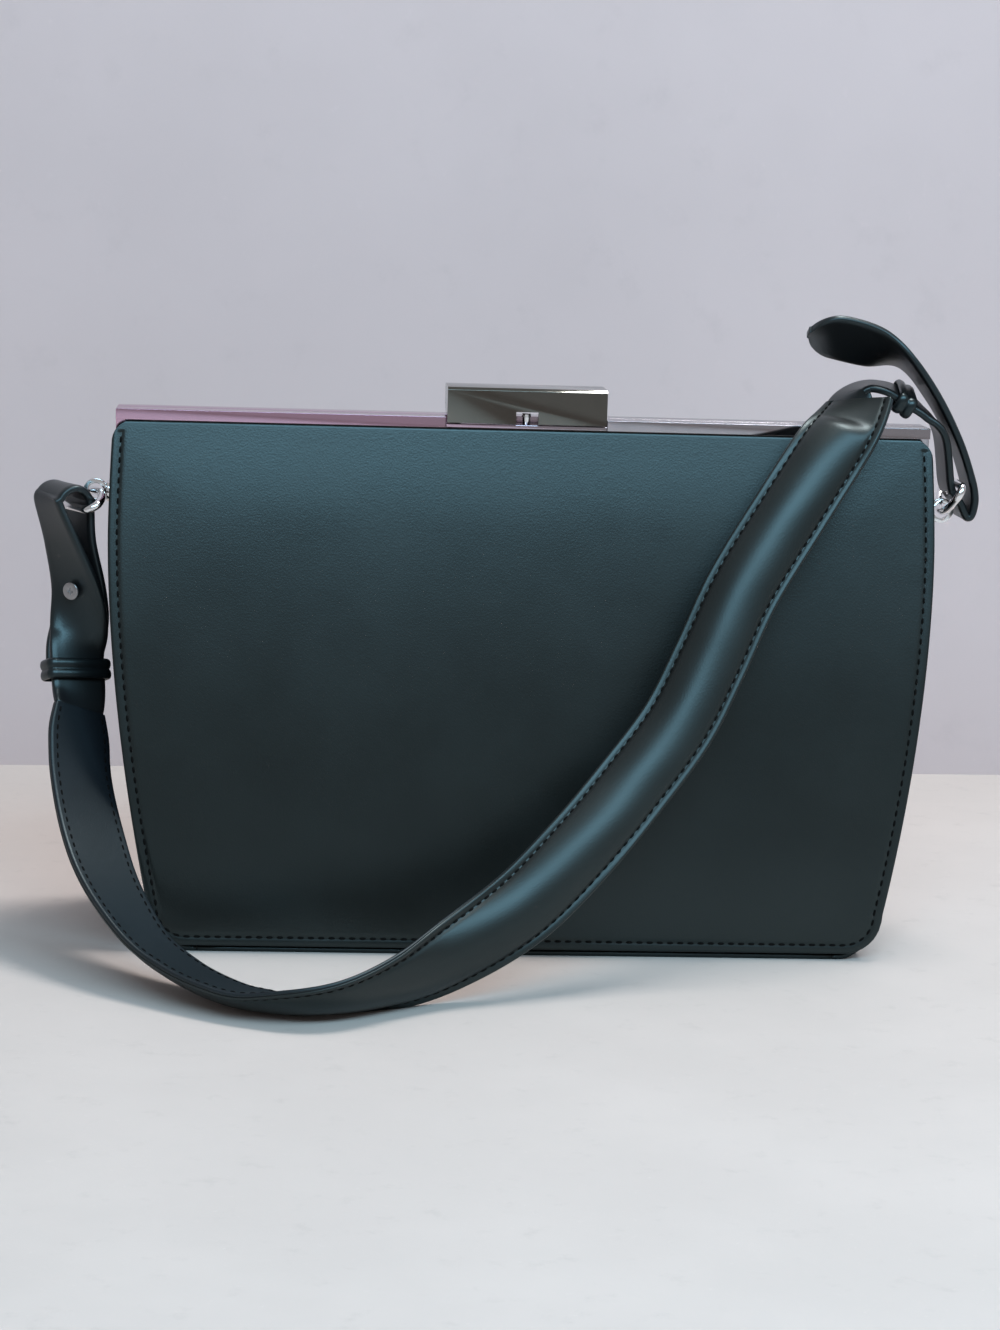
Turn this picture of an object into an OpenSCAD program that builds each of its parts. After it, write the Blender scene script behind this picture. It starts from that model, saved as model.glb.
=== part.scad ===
// Clasp-frame shoulder bag: millimetres, +Z up, +X to the wearer's right of the front, front faces -Y.
// The origin is the middle of the base where it rests.

/* [Bag body] */
// Widest width of the front and back panels
bag_w = 300; // [260:1:340]
// Height of the panels' top edge above the floor
panel_top_z = 188; // [170:1:205]
// Depth over both panels at the floor
base_d = 86; // [76:1:96]
// Depth over both panels at the frame
top_d = 19; // [18:0.5:24]
// Radius of the panels' top corners
top_corner_r = 8; // [4:1:12]
// Radius of the panels' bottom corners
hem_corner_r = 14; // [10:1:20]
// Height of the panels' bottom hem above the floor
hem_z = 2.4; // [1:0.1:4]
// How far the panels' edges stand past the gusset
panel_edge = 3.2; // [2:0.1:5]
// Leather thickness of the panels
leather_t = 1.8; // [1.2:0.1:2.2]
// Stiffening board thickness
board_t = 1.4; // [1:0.1:1.8]
// Lining thickness
lining_t = 0.7; // [0.5:0.1:1]
// Leather thickness of the gussets and the base
gusset_t = 1.8; // [1.2:0.1:2.4]

/* [Slip pocket] */
// Width of the pocket on the back lining
pocket_w = 150; // [100:1:180]
// Height of the pocket
pocket_h = 72; // [50:1:80]
// Height of the pocket's bottom above the floor
pocket_z = 48; // [40:1:60]

/* [Frame] */
// Height of the frame's top bars
frame_h = 3.8; // [3:0.1:5]
// Wall of the frame's side legs across the bag
frame_leg_t = 3.4; // [2.8:0.1:4]
// Depth of the lip that holds the lining inside the bag
frame_lip_h = 7; // [4:0.5:9]
// Wall of that lip
frame_lip_t = 1.2; // [0.8:0.1:1.4]
// Depth of the hinge axis below the panels' top edge
hinge_drop = 27; // [24:1:36]
// Radius of the hinge pins
hinge_pin_r = 1.5; // [1.2:0.1:1.8]
// Radius of the hinge eyes
hinge_eye_r = 4.4; // [3.8:0.1:5]
// Thickness of one hinge eye
hinge_plate_t = 1.6; // [1.2:0.1:2]

/* [Clasp] */
// Width of the clasp hood
clasp_w = 58; // [40:1:80]
// Height of the hood's top above the frame's top
clasp_rise = 11; // [10:0.5:14]
// Wall of the hood
clasp_t = 1.2; // [1:0.1:1.5]
// How far the hood reaches in front of the frame
clasp_front = 1.9; // [1.7:0.1:3]
// Width of the notch in the hood's lip
clasp_notch_w = 8; // [6:0.5:10]
// Width of the catch post
clasp_post_w = 2.8; // [2:0.1:3.5]
// Height of the catch post above the frame
clasp_post_h = 4; // [3.4:0.1:4.4]
// Radius of the hood's pin
clasp_pin_r = 1; // [0.8:0.1:1.2]

/* [Rings] */
// Radius of the ring wire
ring_wire_r = 1.5; // [1.2:0.1:1.6]
// How far a ring's straight bar lies from its lug
ring_reach = 11.5; // [10.5:0.1:13]
// Half the length of a ring's straight bar
ring_bar_half = 11.6; // [11.2:0.1:13]
// Radius of a ring's two bar corners
ring_corner_r = 3; // [2.4:0.1:3.6]
// Distance of the lug's eye from the end of the frame
lug_out = 7.4; // [6.8:0.1:8.4]
// Radius of the lug's eye hole
lug_hole_r = 2.8; // [2.7:0.1:3]
// Outer radius of the lug's eye
lug_eye_r = 4.6; // [4.4:0.1:5.2]
// Thickness of the lug's eye
lug_t = 2; // [1.6:0.1:2.2]
// Angle of the left ring below the horizontal
left_ring_drop = 27; // [20:1:35]
// Turn of the left ring towards the front
left_ring_yaw = 30; // [20:1:32]
// Angle of the right ring above the horizontal
right_ring_lift = 65; // [60:1:68]

/* [Strap] */
// Width of the padded band
strap_w = 27; // [22:1:30]
// Width of the strap's plain ends
strap_end_w = 21; // [18:0.5:21.5]
// Thickness of a plain end
strap_end_t = 3.2; // [2.6:0.1:3.6]
// Thickness of the flat backing
backing_t = 1.4; // [1:0.1:2]
// Height of the padded dome above the backing
pad_h = 5.2; // [4:0.1:6]
// Thickness of the dome's leather
pad_skin = 1.2; // [0.8:0.1:1.5]
// Width of the flat stitched margin beside the dome
pad_margin = 3.4; // [2.5:0.1:4.5]
// Inner radius of the left fold round its ring
left_fold_r = 4.4; // [4:0.1:5.4]
// Length of a keeper along the strap
keeper_len = 7.5; // [6:0.5:10]
// Wall of a keeper
keeper_t = 1.5; // [1:0.1:1.8]
// Radius of the screw's head
screw_head_r = 3.2; // [2.5:0.1:3.5]
// Thickness of the screw's head
screw_head_t = 0.9; // [0.6:0.1:1.2]

/* [Hidden] */
$fn = 48;

// Reach of a cutting body past what it cuts
over = 4;
// Gap between stacked layers
layer_gap = 0.1;
// Running clearance between moving metal pieces
run_gap = 0.2;
// Radial clearance of a pin in its hole
pin_gap = 0.05;
// Gap between the front frame and the rear frame when closed
close_gap = 0.5;
// Clearance of a keeper round the strap
keeper_gap = 0.7;

// How the panels' half width narrows towards the hem, as a share, and how fast
taper_share = 0.135;
taper_power = 1.7;
// Height share at which the panels are widest, and how much they draw in above it
widest_share = 0.8;
top_draw_share = 0.006;
// How fast the panels lean back towards the frame
lean_power = 1.6;
// Steps along a panel's side, its profile and a corner
side_steps = 12;
profile_steps = 18;
corner_steps = 5;

half_w = bag_w / 2;
hinge_z = panel_top_z - hinge_drop;
frame_bottom_z = panel_top_z + layer_gap;
frame_top_z = frame_bottom_z + frame_h;
// The rear panel's fixed part ends under the hinge, and the part above it bends with the rear frame
bend_z = hinge_z - hinge_eye_r - 3 * close_gap - 2 * leather_t;
base_stack = gusset_t + layer_gap;

function unit(v) = v / norm(v);
function mix(a, b, s) = a + (b - a) * s;

// Half width of a panel at height z
function side_x(z) =
    let (s = z / panel_top_z / widest_share)
    s < 1 ? half_w * (1 - taper_share * pow(1 - max(s, 0), taper_power))
          : half_w * (1 - top_draw_share * pow((s - 1) / (1 / widest_share - 1), 2));

// Half depth of the bag at height z, to the outside of the panels
function side_y(z) = base_d / 2 - (base_d - top_d) / 2 * pow(max(z, 0) / panel_top_z, lean_power);

function arc(c, r, a0, a1, n) = [for (i = [0:n]) let (a = mix(a0, a1, i / n)) c + r * [cos(a), sin(a)]];
function mirrored(points) = [for (i = [len(points) - 1:-1:0]) [-points[i][0], points[i][1]]];

// Right half of a panel's outline from the hem up, drawn in by inset
function right_side(inset, low, high, r_low, r_high) = concat(
    arc([side_x(low + r_low) - inset - r_low, low + r_low], r_low, -90, 0, corner_steps),
    [for (i = [1:side_steps - 1]) let (z = mix(low + r_low, high - r_high, i / side_steps)) [side_x(z) - inset, z]],
    arc([side_x(high - r_high) - inset - r_high, high - r_high], r_high, 0, 90, corner_steps));

function outline(inset, low, high, r_low, r_high) =
    let (right = right_side(inset, low, high, r_low, r_high)) concat(right, mirrored(right));

module across_bag(length) rotate([90, 0, 90]) translate([0, 0, -length / 2]) linear_extrude(length) children();
module through_bag(length) rotate([90, 0, 0]) translate([0, 0, -length / 2]) linear_extrude(length) children();

// A sheet that follows a panel's lean, depth inside the panel's outside and thick, between two heights
module leaning_sheet(side, depth, thick, low, high) {
    outer = [for (i = [0:profile_steps]) let (z = mix(low, high, i / profile_steps)) [side * (side_y(z) - depth), z]];
    inner = [for (i = [profile_steps:-1:0])
        let (z = mix(low, high, i / profile_steps)) [side * (side_y(z) - depth - thick), z]];
    across_bag(bag_w + over) polygon(concat(outer, inner));
}

module panel_layer(side, depth, thick, inset, low, high, cut_low, cut_high) {
    intersection() {
        leaning_sheet(side, depth, thick, cut_low, cut_high);
        through_bag(base_d + over) polygon(outline(inset, low, high, hem_corner_r, top_corner_r));
    }
}

board_depth = leather_t + layer_gap;
lining_depth = board_depth + board_t + layer_gap;
stack_depth = lining_depth + lining_t;
inner_inset = panel_edge + gusset_t + layer_gap;
board_inset = inner_inset + close_gap;
// Linings stand inside the gusset's lining
lining_inset = inner_inset + lining_t + layer_gap;
floor_z = base_stack + board_t + layer_gap + lining_t + layer_gap;
lining_top_z = panel_top_z - layer_gap;

module front_panel() { color([0.1, 0.17, 0.18]) panel_layer(-1, 0, leather_t, 0, hem_z, panel_top_z, 0, panel_top_z); }
module front_board() {
    color([0.5, 0.45, 0.38]) panel_layer(-1, board_depth, board_t, board_inset, floor_z, panel_top_z, floor_z,
        panel_top_z);
}
module front_lining() {
    color([0.2, 0.2, 0.22]) panel_layer(-1, lining_depth, lining_t, lining_inset, floor_z, panel_top_z, floor_z,
        lining_top_z);
}
module back_panel() { color([0.1, 0.17, 0.18]) panel_layer(1, 0, leather_t, 0, hem_z, panel_top_z, 0, bend_z); }
module back_panel_top() {
    color([0.1, 0.17, 0.18]) panel_layer(1, 0, leather_t, 0, hem_z, panel_top_z, bend_z + layer_gap, panel_top_z);
}
module back_board() {
    color([0.5, 0.45, 0.38]) panel_layer(1, board_depth, board_t, board_inset, floor_z, panel_top_z, floor_z, bend_z);
}
module back_lining() {
    color([0.2, 0.2, 0.22]) panel_layer(1, lining_depth, lining_t, lining_inset, floor_z, panel_top_z, floor_z,
        bend_z);
}
module back_lining_top() {
    color([0.2, 0.2, 0.22]) panel_layer(1, lining_depth, lining_t, lining_inset, floor_z, panel_top_z,
        bend_z + layer_gap, lining_top_z);
}

// A U-shaped strip that runs down one side, under the bag and up the other side
module u_strip(inset, thick, low, high, depth) {
    corner = hem_corner_r - inset / 2;
    intersection() {
        difference() {
            through_bag(base_d + over) polygon(outline(inset, low, high + over, corner, top_corner_r));
            through_bag(base_d + 2 * over)
                polygon(outline(inset + thick, low + thick, high + 3 * over, corner - thick, top_corner_r));
        }
        across_bag(bag_w + over) polygon(inside_profile(depth, high));
    }
}

// Outline of the bag's inside seen from the side, between sheets that end depth inside the panels
function inside_profile(depth, high) = concat(
    [for (i = [0:profile_steps]) let (z = mix(-layer_gap, high, i / profile_steps)) [side_y(z) - depth, z]],
    [for (i = [profile_steps:-1:0]) let (z = mix(-layer_gap, high, i / profile_steps)) [depth - side_y(z), z]]);

// Half length of the flat base between the two rounded lower corners
base_half = side_x(hem_corner_r) - panel_edge - hem_corner_r - 2 * layer_gap;

module keep_right() translate([base_half + layer_gap, -base_d, -over]) cube([bag_w, 2 * base_d, panel_top_z + 2 * over]);
module keep_base() translate([-base_half, -base_d, -over]) cube([2 * base_half, 2 * base_d, hem_corner_r + over]);

gusset_depth = leather_t + layer_gap;
module right_gusset() {
    color([0.09, 0.15, 0.16]) intersection() {
        u_strip(panel_edge, gusset_t, 0, bend_z, gusset_depth);
        keep_right();
    }
}
module left_gusset() mirror([1, 0, 0]) right_gusset();
module base_panel() {
    color([0.08, 0.12, 0.13]) intersection() {
        u_strip(panel_edge, gusset_t, 0, bend_z, gusset_depth);
        keep_base();
    }
}
module right_gusset_lining() {
    color([0.2, 0.2, 0.22]) intersection() {
        u_strip(inner_inset, lining_t, base_stack, bend_z, stack_depth + layer_gap);
        keep_right();
        translate([-bag_w, -base_d, hem_corner_r]) cube([2 * bag_w, 2 * base_d, panel_top_z]);
    }
}
module left_gusset_lining() mirror([1, 0, 0]) right_gusset_lining();

base_in_y = side_y(floor_z) - stack_depth - layer_gap;
module floor_plate(low, thick) {
    translate([-base_half, -base_in_y, low]) cube([2 * base_half, 2 * base_in_y, thick]);
}
module base_board() { color([0.5, 0.45, 0.38]) floor_plate(base_stack, board_t); }
module base_lining() { color([0.2, 0.2, 0.22]) floor_plate(base_stack + board_t + layer_gap, lining_t); }

module slip_pocket() {
    color([0.24, 0.24, 0.26]) intersection() {
        leaning_sheet(1, stack_depth + layer_gap, lining_t, pocket_z, pocket_z + pocket_h);
        translate([-pocket_w / 2, 0, 0]) cube([pocket_w, base_d, panel_top_z]);
    }
}

// Frame: each half is an upside-down U of metal along the top and down the sides to its hinge eye
frame_x = side_x(hinge_z) - gusset_t;
leg_in_x = frame_x - frame_leg_t;
frame_front_y = top_d / 2 + layer_gap;
leg_front_y = top_d / 2 - leather_t - 2 * layer_gap;
lip_y = top_d / 2 - stack_depth - layer_gap;
leg_low_z = hinge_z + hinge_eye_r + run_gap;
clasp_recess_h = frame_h * 0.6;
recess_half_w = clasp_w / 2 + 2 * run_gap;
front_plate_x = frame_x - 2 * hinge_plate_t - run_gap;
rear_plate_x = frame_x - hinge_plate_t;

module frame_half(plate_x) {
    // Top bar
    translate([-frame_x, close_gap / 2, frame_bottom_z]) cube([2 * frame_x, frame_front_y - close_gap / 2, frame_h]);
    // Lip behind the lining
    translate([-leg_in_x, lip_y - frame_lip_t, frame_bottom_z - frame_lip_h])
        cube([2 * leg_in_x, frame_lip_t, frame_lip_h + frame_h / 2]);
    for (side = [-1, 1]) scale([side, 1, 1]) {
        // Side leg
        translate([leg_in_x, close_gap / 2, leg_low_z])
            cube([frame_leg_t, leg_front_y - close_gap / 2, frame_bottom_z - leg_low_z + frame_h / 2]);
        // Hinge eye and the web that carries it
        difference() {
            union() {
                translate([plate_x, 0, hinge_z]) rotate([0, 90, 0]) cylinder(h = hinge_plate_t, r = hinge_eye_r);
                translate([plate_x, close_gap / 2, hinge_z])
                    cube([hinge_plate_t, hinge_eye_r - close_gap, leg_low_z - hinge_z + frame_h]);
            }
            translate([plate_x - over, 0, hinge_z]) rotate([0, 90, 0])
                cylinder(h = hinge_plate_t + 2 * over, r = hinge_pin_r + pin_gap);
        }
    }
}

module front_frame() {
    color([0.75, 0.73, 0.75]) difference() {
        mirror([0, 1, 0]) frame_half(front_plate_x);
        // The two halves stand apart for the catch plate
        translate([-recess_half_w, -frame_front_y - over, frame_bottom_z - frame_lip_h - over])
            cube([2 * recess_half_w, frame_front_y + over, frame_lip_h + frame_h + 2 * over]);
    }
}

// Joins the front frame's two halves, lower than they are, so that the hood's lip seats in the recess
catch_half_w = recess_half_w - layer_gap;
catch_h = frame_h - clasp_recess_h;
module catch_plate() {
    color([0.75, 0.73, 0.75]) {
        translate([-catch_half_w, -frame_front_y, frame_bottom_z])
            cube([2 * catch_half_w, frame_front_y - close_gap / 2, catch_h]);
        translate([-catch_half_w, -lip_y, frame_bottom_z - frame_lip_h])
            cube([2 * catch_half_w, frame_lip_t, frame_lip_h + catch_h / 2]);
    }
}

module rear_frame() {
    color([0.75, 0.73, 0.75]) difference() {
        frame_half(rear_plate_x);
        // Relief for the front eyes beside the rear legs
        for (side = [-1, 1]) scale([side, 1, 1])
            translate([front_plate_x - run_gap, -over, hinge_z - hinge_eye_r - over])
                cube([hinge_plate_t + 2 * run_gap, over + close_gap / 4, 2 * hinge_eye_r + over]);
    }
}

pin_in_x = front_plate_x - hinge_plate_t;
lug_x = frame_x + run_gap;
lug_body_len = 3.2;
lug_body_r = hinge_eye_r - close_gap;
pin_end_x = lug_x + lug_body_len * 0.6;

module hinge_pins() {
    color([0.7, 0.7, 0.72]) for (side = [-1, 1]) scale([side, 1, 1]) {
        translate([pin_in_x + hinge_plate_t / 2, 0, hinge_z]) rotate([0, 90, 0])
            cylinder(h = pin_end_x - pin_in_x - hinge_plate_t / 2, r = hinge_pin_r);
        translate([pin_in_x - run_gap, 0, hinge_z]) rotate([0, 90, 0])
            cylinder(h = hinge_plate_t, r = hinge_pin_r * 1.7);
    }
}

// Clasp
hood_z = frame_top_z - clasp_recess_h + 2 * run_gap;
hood_top_z = frame_top_z + clasp_rise;
hood_front_y = frame_front_y + clasp_front;
clasp_pin_y = top_d / 4;
clasp_pin_z = frame_top_z + clasp_pin_r * 3;
bracket_r = clasp_pin_r * 2.4;
bracket_len = 4;
bracket_x = clasp_w / 2 - clasp_t - bracket_len - 2 * run_gap;

module clasp_post() {
    post_z = frame_top_z - clasp_recess_h;
    color([0.8, 0.8, 0.8]) translate([0, -frame_front_y * 0.7, post_z]) {
        cylinder(h = clasp_post_h, r = clasp_post_w / 2);
        translate([0, 0, clasp_post_h - clasp_post_w * 0.4]) cylinder(h = clasp_post_w * 0.4, r = clasp_post_w * 0.6);
    }
}

module clasp_bracket() {
    color([0.7, 0.7, 0.72]) for (side = [-1, 1]) scale([side, 1, 1]) difference() {
        union() {
            translate([bracket_x, clasp_pin_y, clasp_pin_z]) rotate([0, 90, 0]) cylinder(h = bracket_len, r = bracket_r);
            translate([bracket_x, clasp_pin_y - bracket_r, frame_top_z])
                cube([bracket_len, 2 * bracket_r, clasp_pin_z - frame_top_z]);
        }
        translate([bracket_x - over, clasp_pin_y, clasp_pin_z]) rotate([0, 90, 0])
            cylinder(h = bracket_len + 2 * over, r = clasp_pin_r + pin_gap);
    }
}

module clasp_pin() {
    color([0.7, 0.7, 0.72]) for (side = [-1, 1]) scale([side, 1, 1])
        translate([bracket_x - run_gap * 2, clasp_pin_y, clasp_pin_z]) rotate([0, 90, 0])
            cylinder(h = clasp_w / 2 - bracket_x + run_gap * 2, r = clasp_pin_r);
}

// The hood's section seen from its end: front wall, top wall and a short back wall, hollow below
hood_back_y = clasp_pin_y + bracket_r + run_gap * 2;
hood_edge = clasp_t * 0.8;
hood_back_z = clasp_pin_z + clasp_pin_r * 1.6;
module hood_section() {
    back = hood_back_y + clasp_t;
    polygon([[-hood_front_y, hood_z], [-hood_front_y, hood_top_z - hood_edge], [hood_edge - hood_front_y, hood_top_z],
        [back - hood_edge, hood_top_z], [back, hood_top_z - hood_edge], [back, hood_back_z],
        [clasp_pin_y + clasp_pin_r * 1.5, clasp_pin_z - clasp_pin_r], [-hood_front_y / 2, hood_z]]);
}
// The hollow under the hood, open below and under the back wall
module hood_hollow() {
    low = hood_z - over;
    front = clasp_t - hood_front_y;
    polygon([[front, low], [front, hood_top_z - clasp_t], [hood_back_y, hood_top_z - clasp_t],
        [hood_back_y, hood_back_z], [hood_back_y + over, hood_back_z], [hood_back_y + over, low]]);
}

module clasp_hood() {
    color([0.72, 0.74, 0.7]) difference() {
        intersection() {
            across_bag(clasp_w) hood_section();
            translate([-clasp_w, -base_d, hood_z]) cube([2 * clasp_w, 2 * base_d, panel_top_z]);
        }
        across_bag(clasp_w - 2 * clasp_t) hood_hollow();
        // Room under the end walls for the frame's bars
        translate([-clasp_w, -frame_front_y - 2 * run_gap, hood_z - over])
            cube([2 * clasp_w, 2 * frame_front_y, frame_top_z + 2 * run_gap - hood_z + over]);
        // Notch in the lip for the catch post
        translate([-clasp_notch_w / 2, -base_d, hood_z - over])
            cube([clasp_notch_w, base_d, over + clasp_post_h + 2 * run_gap]);
        // Pin holes in the end walls
        translate([-clasp_w, clasp_pin_y, clasp_pin_z]) rotate([0, 90, 0])
            cylinder(h = 2 * clasp_w, r = clasp_pin_r + pin_gap);
    }
}

spring_w = clasp_w / 3;
module clasp_spring() {
    inner_top = hood_top_z - clasp_t - layer_gap;
    color([0.6, 0.6, 0.62]) translate([-spring_w / 2, -hood_front_y + clasp_t + layer_gap, inner_top - clasp_t / 2])
        cube([spring_w, frame_front_y, clasp_t / 2]);
}

// Lugs and rings
eye_x = frame_x + lug_out;

module right_lug() {
    color([0.75, 0.74, 0.76]) difference() {
        union() {
            translate([lug_x, 0, hinge_z]) rotate([0, 90, 0]) cylinder(h = lug_body_len, r = lug_body_r);
            translate([eye_x, lug_t / 2, hinge_z]) rotate([90, 0, 0]) cylinder(h = lug_t, r = lug_eye_r);
            translate([lug_x + lug_body_len * 0.7, -lug_t / 2, hinge_z - lug_body_r * 0.8])
                cube([eye_x - lug_x - lug_body_len * 0.7, lug_t, lug_body_r * 1.6]);
        }
        translate([eye_x, over, hinge_z]) rotate([90, 0, 0]) cylinder(h = 2 * over, r = lug_hole_r);
        translate([lug_x - over, 0, hinge_z]) rotate([0, 90, 0])
            cylinder(h = pin_end_x + run_gap - lug_x + over, r = hinge_pin_r + pin_gap);
    }
}
module left_lug() mirror([1, 0, 0]) right_lug();

// A flat D of wire in the XY plane: its curved side passes the origin and its straight bar stands at +X
corner_in = ring_reach - ring_corner_r;
bow_r = (corner_in * corner_in + ring_bar_half * ring_bar_half - ring_corner_r * ring_corner_r)
    / (2 * (corner_in - ring_corner_r));
bow_angle = atan2(ring_bar_half, bow_r - corner_in);

ring_section_sides = 20;
ring_path = concat(
    arc([bow_r, 0], bow_r, 180 + bow_angle, 180 - bow_angle, 20),
    [for (q = arc([corner_in, ring_bar_half], ring_corner_r, 180 - bow_angle, 0, 8)) if (q[0] > corner_in -
        ring_corner_r * cos(bow_angle) + layer_gap) q],
    [for (i = [1:5]) [ring_reach, mix(ring_bar_half, -ring_bar_half, i / 6)]],
    [for (q = arc([corner_in, -ring_bar_half], ring_corner_r, 0, bow_angle - 180, 8)) if (q[0] > corner_in -
        ring_corner_r * cos(bow_angle) + layer_gap) q]);

// A round wire swept round a closed flat path
module wire_loop(path, r) {
    n = len(path);
    m = ring_section_sides;
    points = [for (i = [0:n - 1]) let (t = unit(path[(i + 1) % n] - path[(i + n - 1) % n]), x = [t[1], -t[0]])
        for (j = [0:m - 1]) let (a = 360 * j / m, q = path[i] + x * r * cos(a)) [q[0], q[1], r * sin(a)]];
    sides = [for (i = [0:n - 1], j = [0:m - 1]) let (k = (j + 1) % m, h = (i + 1) % n)
        each [[i * m + j, i * m + k, h * m + k], [i * m + j, h * m + k, h * m + j]]];
    polyhedron(points, sides, convexity = 6);
}
module ring_wire() wire_loop(ring_path, ring_wire_r);

module left_ring() {
    color([0.85, 0.85, 0.85]) translate([-eye_x, 0, hinge_z])
        rotate([0, 0, 180 + left_ring_yaw]) rotate([0, left_ring_drop, 0]) ring_wire();
}
module right_ring() {
    color([0.85, 0.85, 0.85]) translate([eye_x, 0, hinge_z]) rotate([0, -right_ring_lift, 0]) ring_wire();
}

// Strap: a band swept along a smooth curve through hand-chosen places
function spline(a, b, c, d, t) =
    0.5 * (2 * b + (c - a) * t + (2 * a - 5 * b + 4 * c - d) * t * t + (3 * b - a - 3 * c + d) * t * t * t);
function smooth(p, k) =
    let (n = len(p) - 1)
    concat([for (i = [0:n - 1], j = [0:k - 1])
        spline(p[max(i - 1, 0)], p[i], p[i + 1], p[min(i + 2, n)], j / k)], [p[n]]);
function tangent(c, i) = unit(c[min(i + 1, len(c) - 1)] - c[max(i - 1, 0)]);
// Width direction of a band square to its run
function width_dir(c, w, i) = let (t = tangent(c, i)) unit(w[i] - (w[i] * t) * t);
function face_dir(c, w, i) = cross(tangent(c, i), width_dir(c, w, i));

// Sweeps a section of [across, up] points along centres c with width directions w; s narrows each ring.
// A paired section has as many points above as below, and its two ends are closed strip by strip.
module band(c, w, section, s, paired = false) {
    m = len(section);
    n = len(c);
    points = [for (i = [0:n - 1]) let (x = width_dir(c, w, i), y = face_dir(c, w, i))
        for (q = section) c[i] + x * q[0] * s[i] + y * q[1]];
    sides = [for (i = [0:n - 2], j = [0:m - 1]) let (k = (j + 1) % m)
        [i * m + j, i * m + k, (i + 1) * m + k, (i + 1) * m + j]];
    split = [for (f = sides) each [[f[0], f[1], f[2]], [f[0], f[2], f[3]]]];
    strips = [for (j = [0:m / 2 - 2]) each [[j, j + 1, m - 2 - j], [j, m - 2 - j, m - 1 - j]]];
    last_end = paired ? strips : [[for (j = [0:m - 1]) j]];
    first = [for (f = last_end) turned(f)];
    last = [for (f = last_end) [for (j = f) (n - 1) * m + j]];
    polyhedron(points, concat(split, first, last), convexity = 8);
}

// Centre of the padded band: shares of the half width, the half depth and the panels' height
pad_route_shares = [
    [-1.064, -0.48, 0.445], [-1.054, -0.80, 0.34], [-1.015, -1.21, 0.237], [-0.965, -1.60, 0.162],
    [-0.885, -2.04, 0.094], [-0.80, -2.35, 0.058], [-0.705, -2.64, 0.039], [-0.61, -2.86, 0.035],
    [-0.47, -3.02, 0.043], [-0.32, -2.80, 0.058], [-0.18, -2.50, 0.094], [-0.02, -2.24, 0.168],
    [0.12, -1.99, 0.270], [0.245, -1.71, 0.378], [0.35, -1.50, 0.483], [0.425, -1.33, 0.596],
    [0.505, -1.15, 0.73], [0.62, -0.93, 0.873], [0.705, -0.74, 0.972], [0.76, -0.58, 1.03],
    [0.80, -0.36, 1.073]];
// Direction from the band's far edge to its near edge at each place
pad_width_shares = [
    [-0.70, -0.72, 0.04], [-0.69, -0.71, 0.10], [-0.66, -0.75, 0.02], [-0.50, -0.86, 0.00],
    [-0.33, -0.94, 0.05], [-0.22, -0.97, 0.09], [-0.10, -0.98, 0.13], [0.00, -0.97, 0.20],
    [0.03, -0.86, 0.50], [-0.08, -0.64, 0.77], [-0.33, -0.28, 0.90], [-0.64, 0.02, 0.76],
    [-0.74, 0.19, 0.64], [-0.77, 0.28, 0.57], [-0.81, 0.33, 0.48], [-0.84, 0.31, 0.43],
    [-0.85, 0.28, 0.44], [-0.85, 0.24, 0.47], [-0.90, 0.26, 0.35], [-0.90, 0.42, 0.10],
    [-0.79, 0.60, -0.13]];
body_scale = [half_w, base_d / 2, panel_top_z];
function placed(shares, unit_sizes) = [for (p = shares) [for (i = [0:2]) p[i] * unit_sizes[i]]];
pad_steps = 4;
// The pad's centre is lifted where a thicker or wider band would reach the floor
pad_places = [for (p = placed(pad_route_shares, body_scale)) [p[0], p[1], max(p[2], pad_h + pad_skin)]];
pad_c = smooth(pad_places, pad_steps);
pad_w = smooth(pad_width_shares, pad_steps);
pad_full = [for (p = pad_c) 1];

edge_h = backing_t * 0.7;
dome_steps = 6;
dome_half = strap_w / 2 - pad_margin;
function dome(half, low, high, n) = [for (i = [0:n]) let (a = mix(0, 180, i / n))
    [half * cos(a), low + (high - low) * pow(sin(a), 0.8)]];

across_steps = 8;
function across(half, up, a, b) = [for (i = [a:b]) [mix(-half, half, i / across_steps), up]];
module strap_backing() {
    color([0.07, 0.09, 0.12]) band(pad_c, pad_w, concat(across(strap_w / 2, -backing_t, 0, across_steps),
        turned(across(strap_w / 2, 0, 0, across_steps))), pad_full, paired = true);
}
filler_high = pad_h - pad_skin;
filler_half = dome_half - pad_skin;
skin_low = 2 * layer_gap;
module strap_filler() {
    color([0.8, 0.8, 0.75]) band(pad_c, pad_w,
        concat(dome(filler_half - 2 * layer_gap, skin_low, filler_high - 2 * layer_gap, dome_steps),
            across(filler_half - 2 * layer_gap, skin_low, 1, across_steps - 1)), pad_full);
}
module strap_outer() {
    section = concat([[strap_w / 2, skin_low], [strap_w / 2, edge_h]],
        dome(dome_half, edge_h, pad_h, dome_steps),
        [[-strap_w / 2, edge_h], [-strap_w / 2, skin_low]],
        [for (q = dome(filler_half, skin_low, filler_high, dome_steps)) [-q[0], q[1]]]);
    color([0.13, 0.24, 0.26]) band(pad_c, pad_w, section, pad_full);
}

// Section of a plain end with softened edges
end_soft = strap_end_t / 3;
function end_section() = let (h = strap_end_w / 2, t = strap_end_t / 2)
    [[h - end_soft, -t], [h, end_soft - t], [h, t - end_soft], [h - end_soft, t],
     [end_soft - h, t], [-h, t - end_soft], [-h, end_soft - t], [end_soft - h, -t]];
// Narrowing of the last rings into a rounded tip
tip_shares = [0.42, 0.70, 0.88, 0.97];
function tip_scale(n) = [for (i = [0:n - 1]) i < len(tip_shares) ? tip_shares[i] : 1];
function turned(v) = [for (i = [len(v) - 1:-1:0]) v[i]];

fold_steps = 6;
end_steps = 3;
pad_start = pad_c[0];
pad_start_w = pad_w[0];
butt_gap = 2 * layer_gap;
mid_drop = (backing_t - strap_end_t) / 2;

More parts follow.
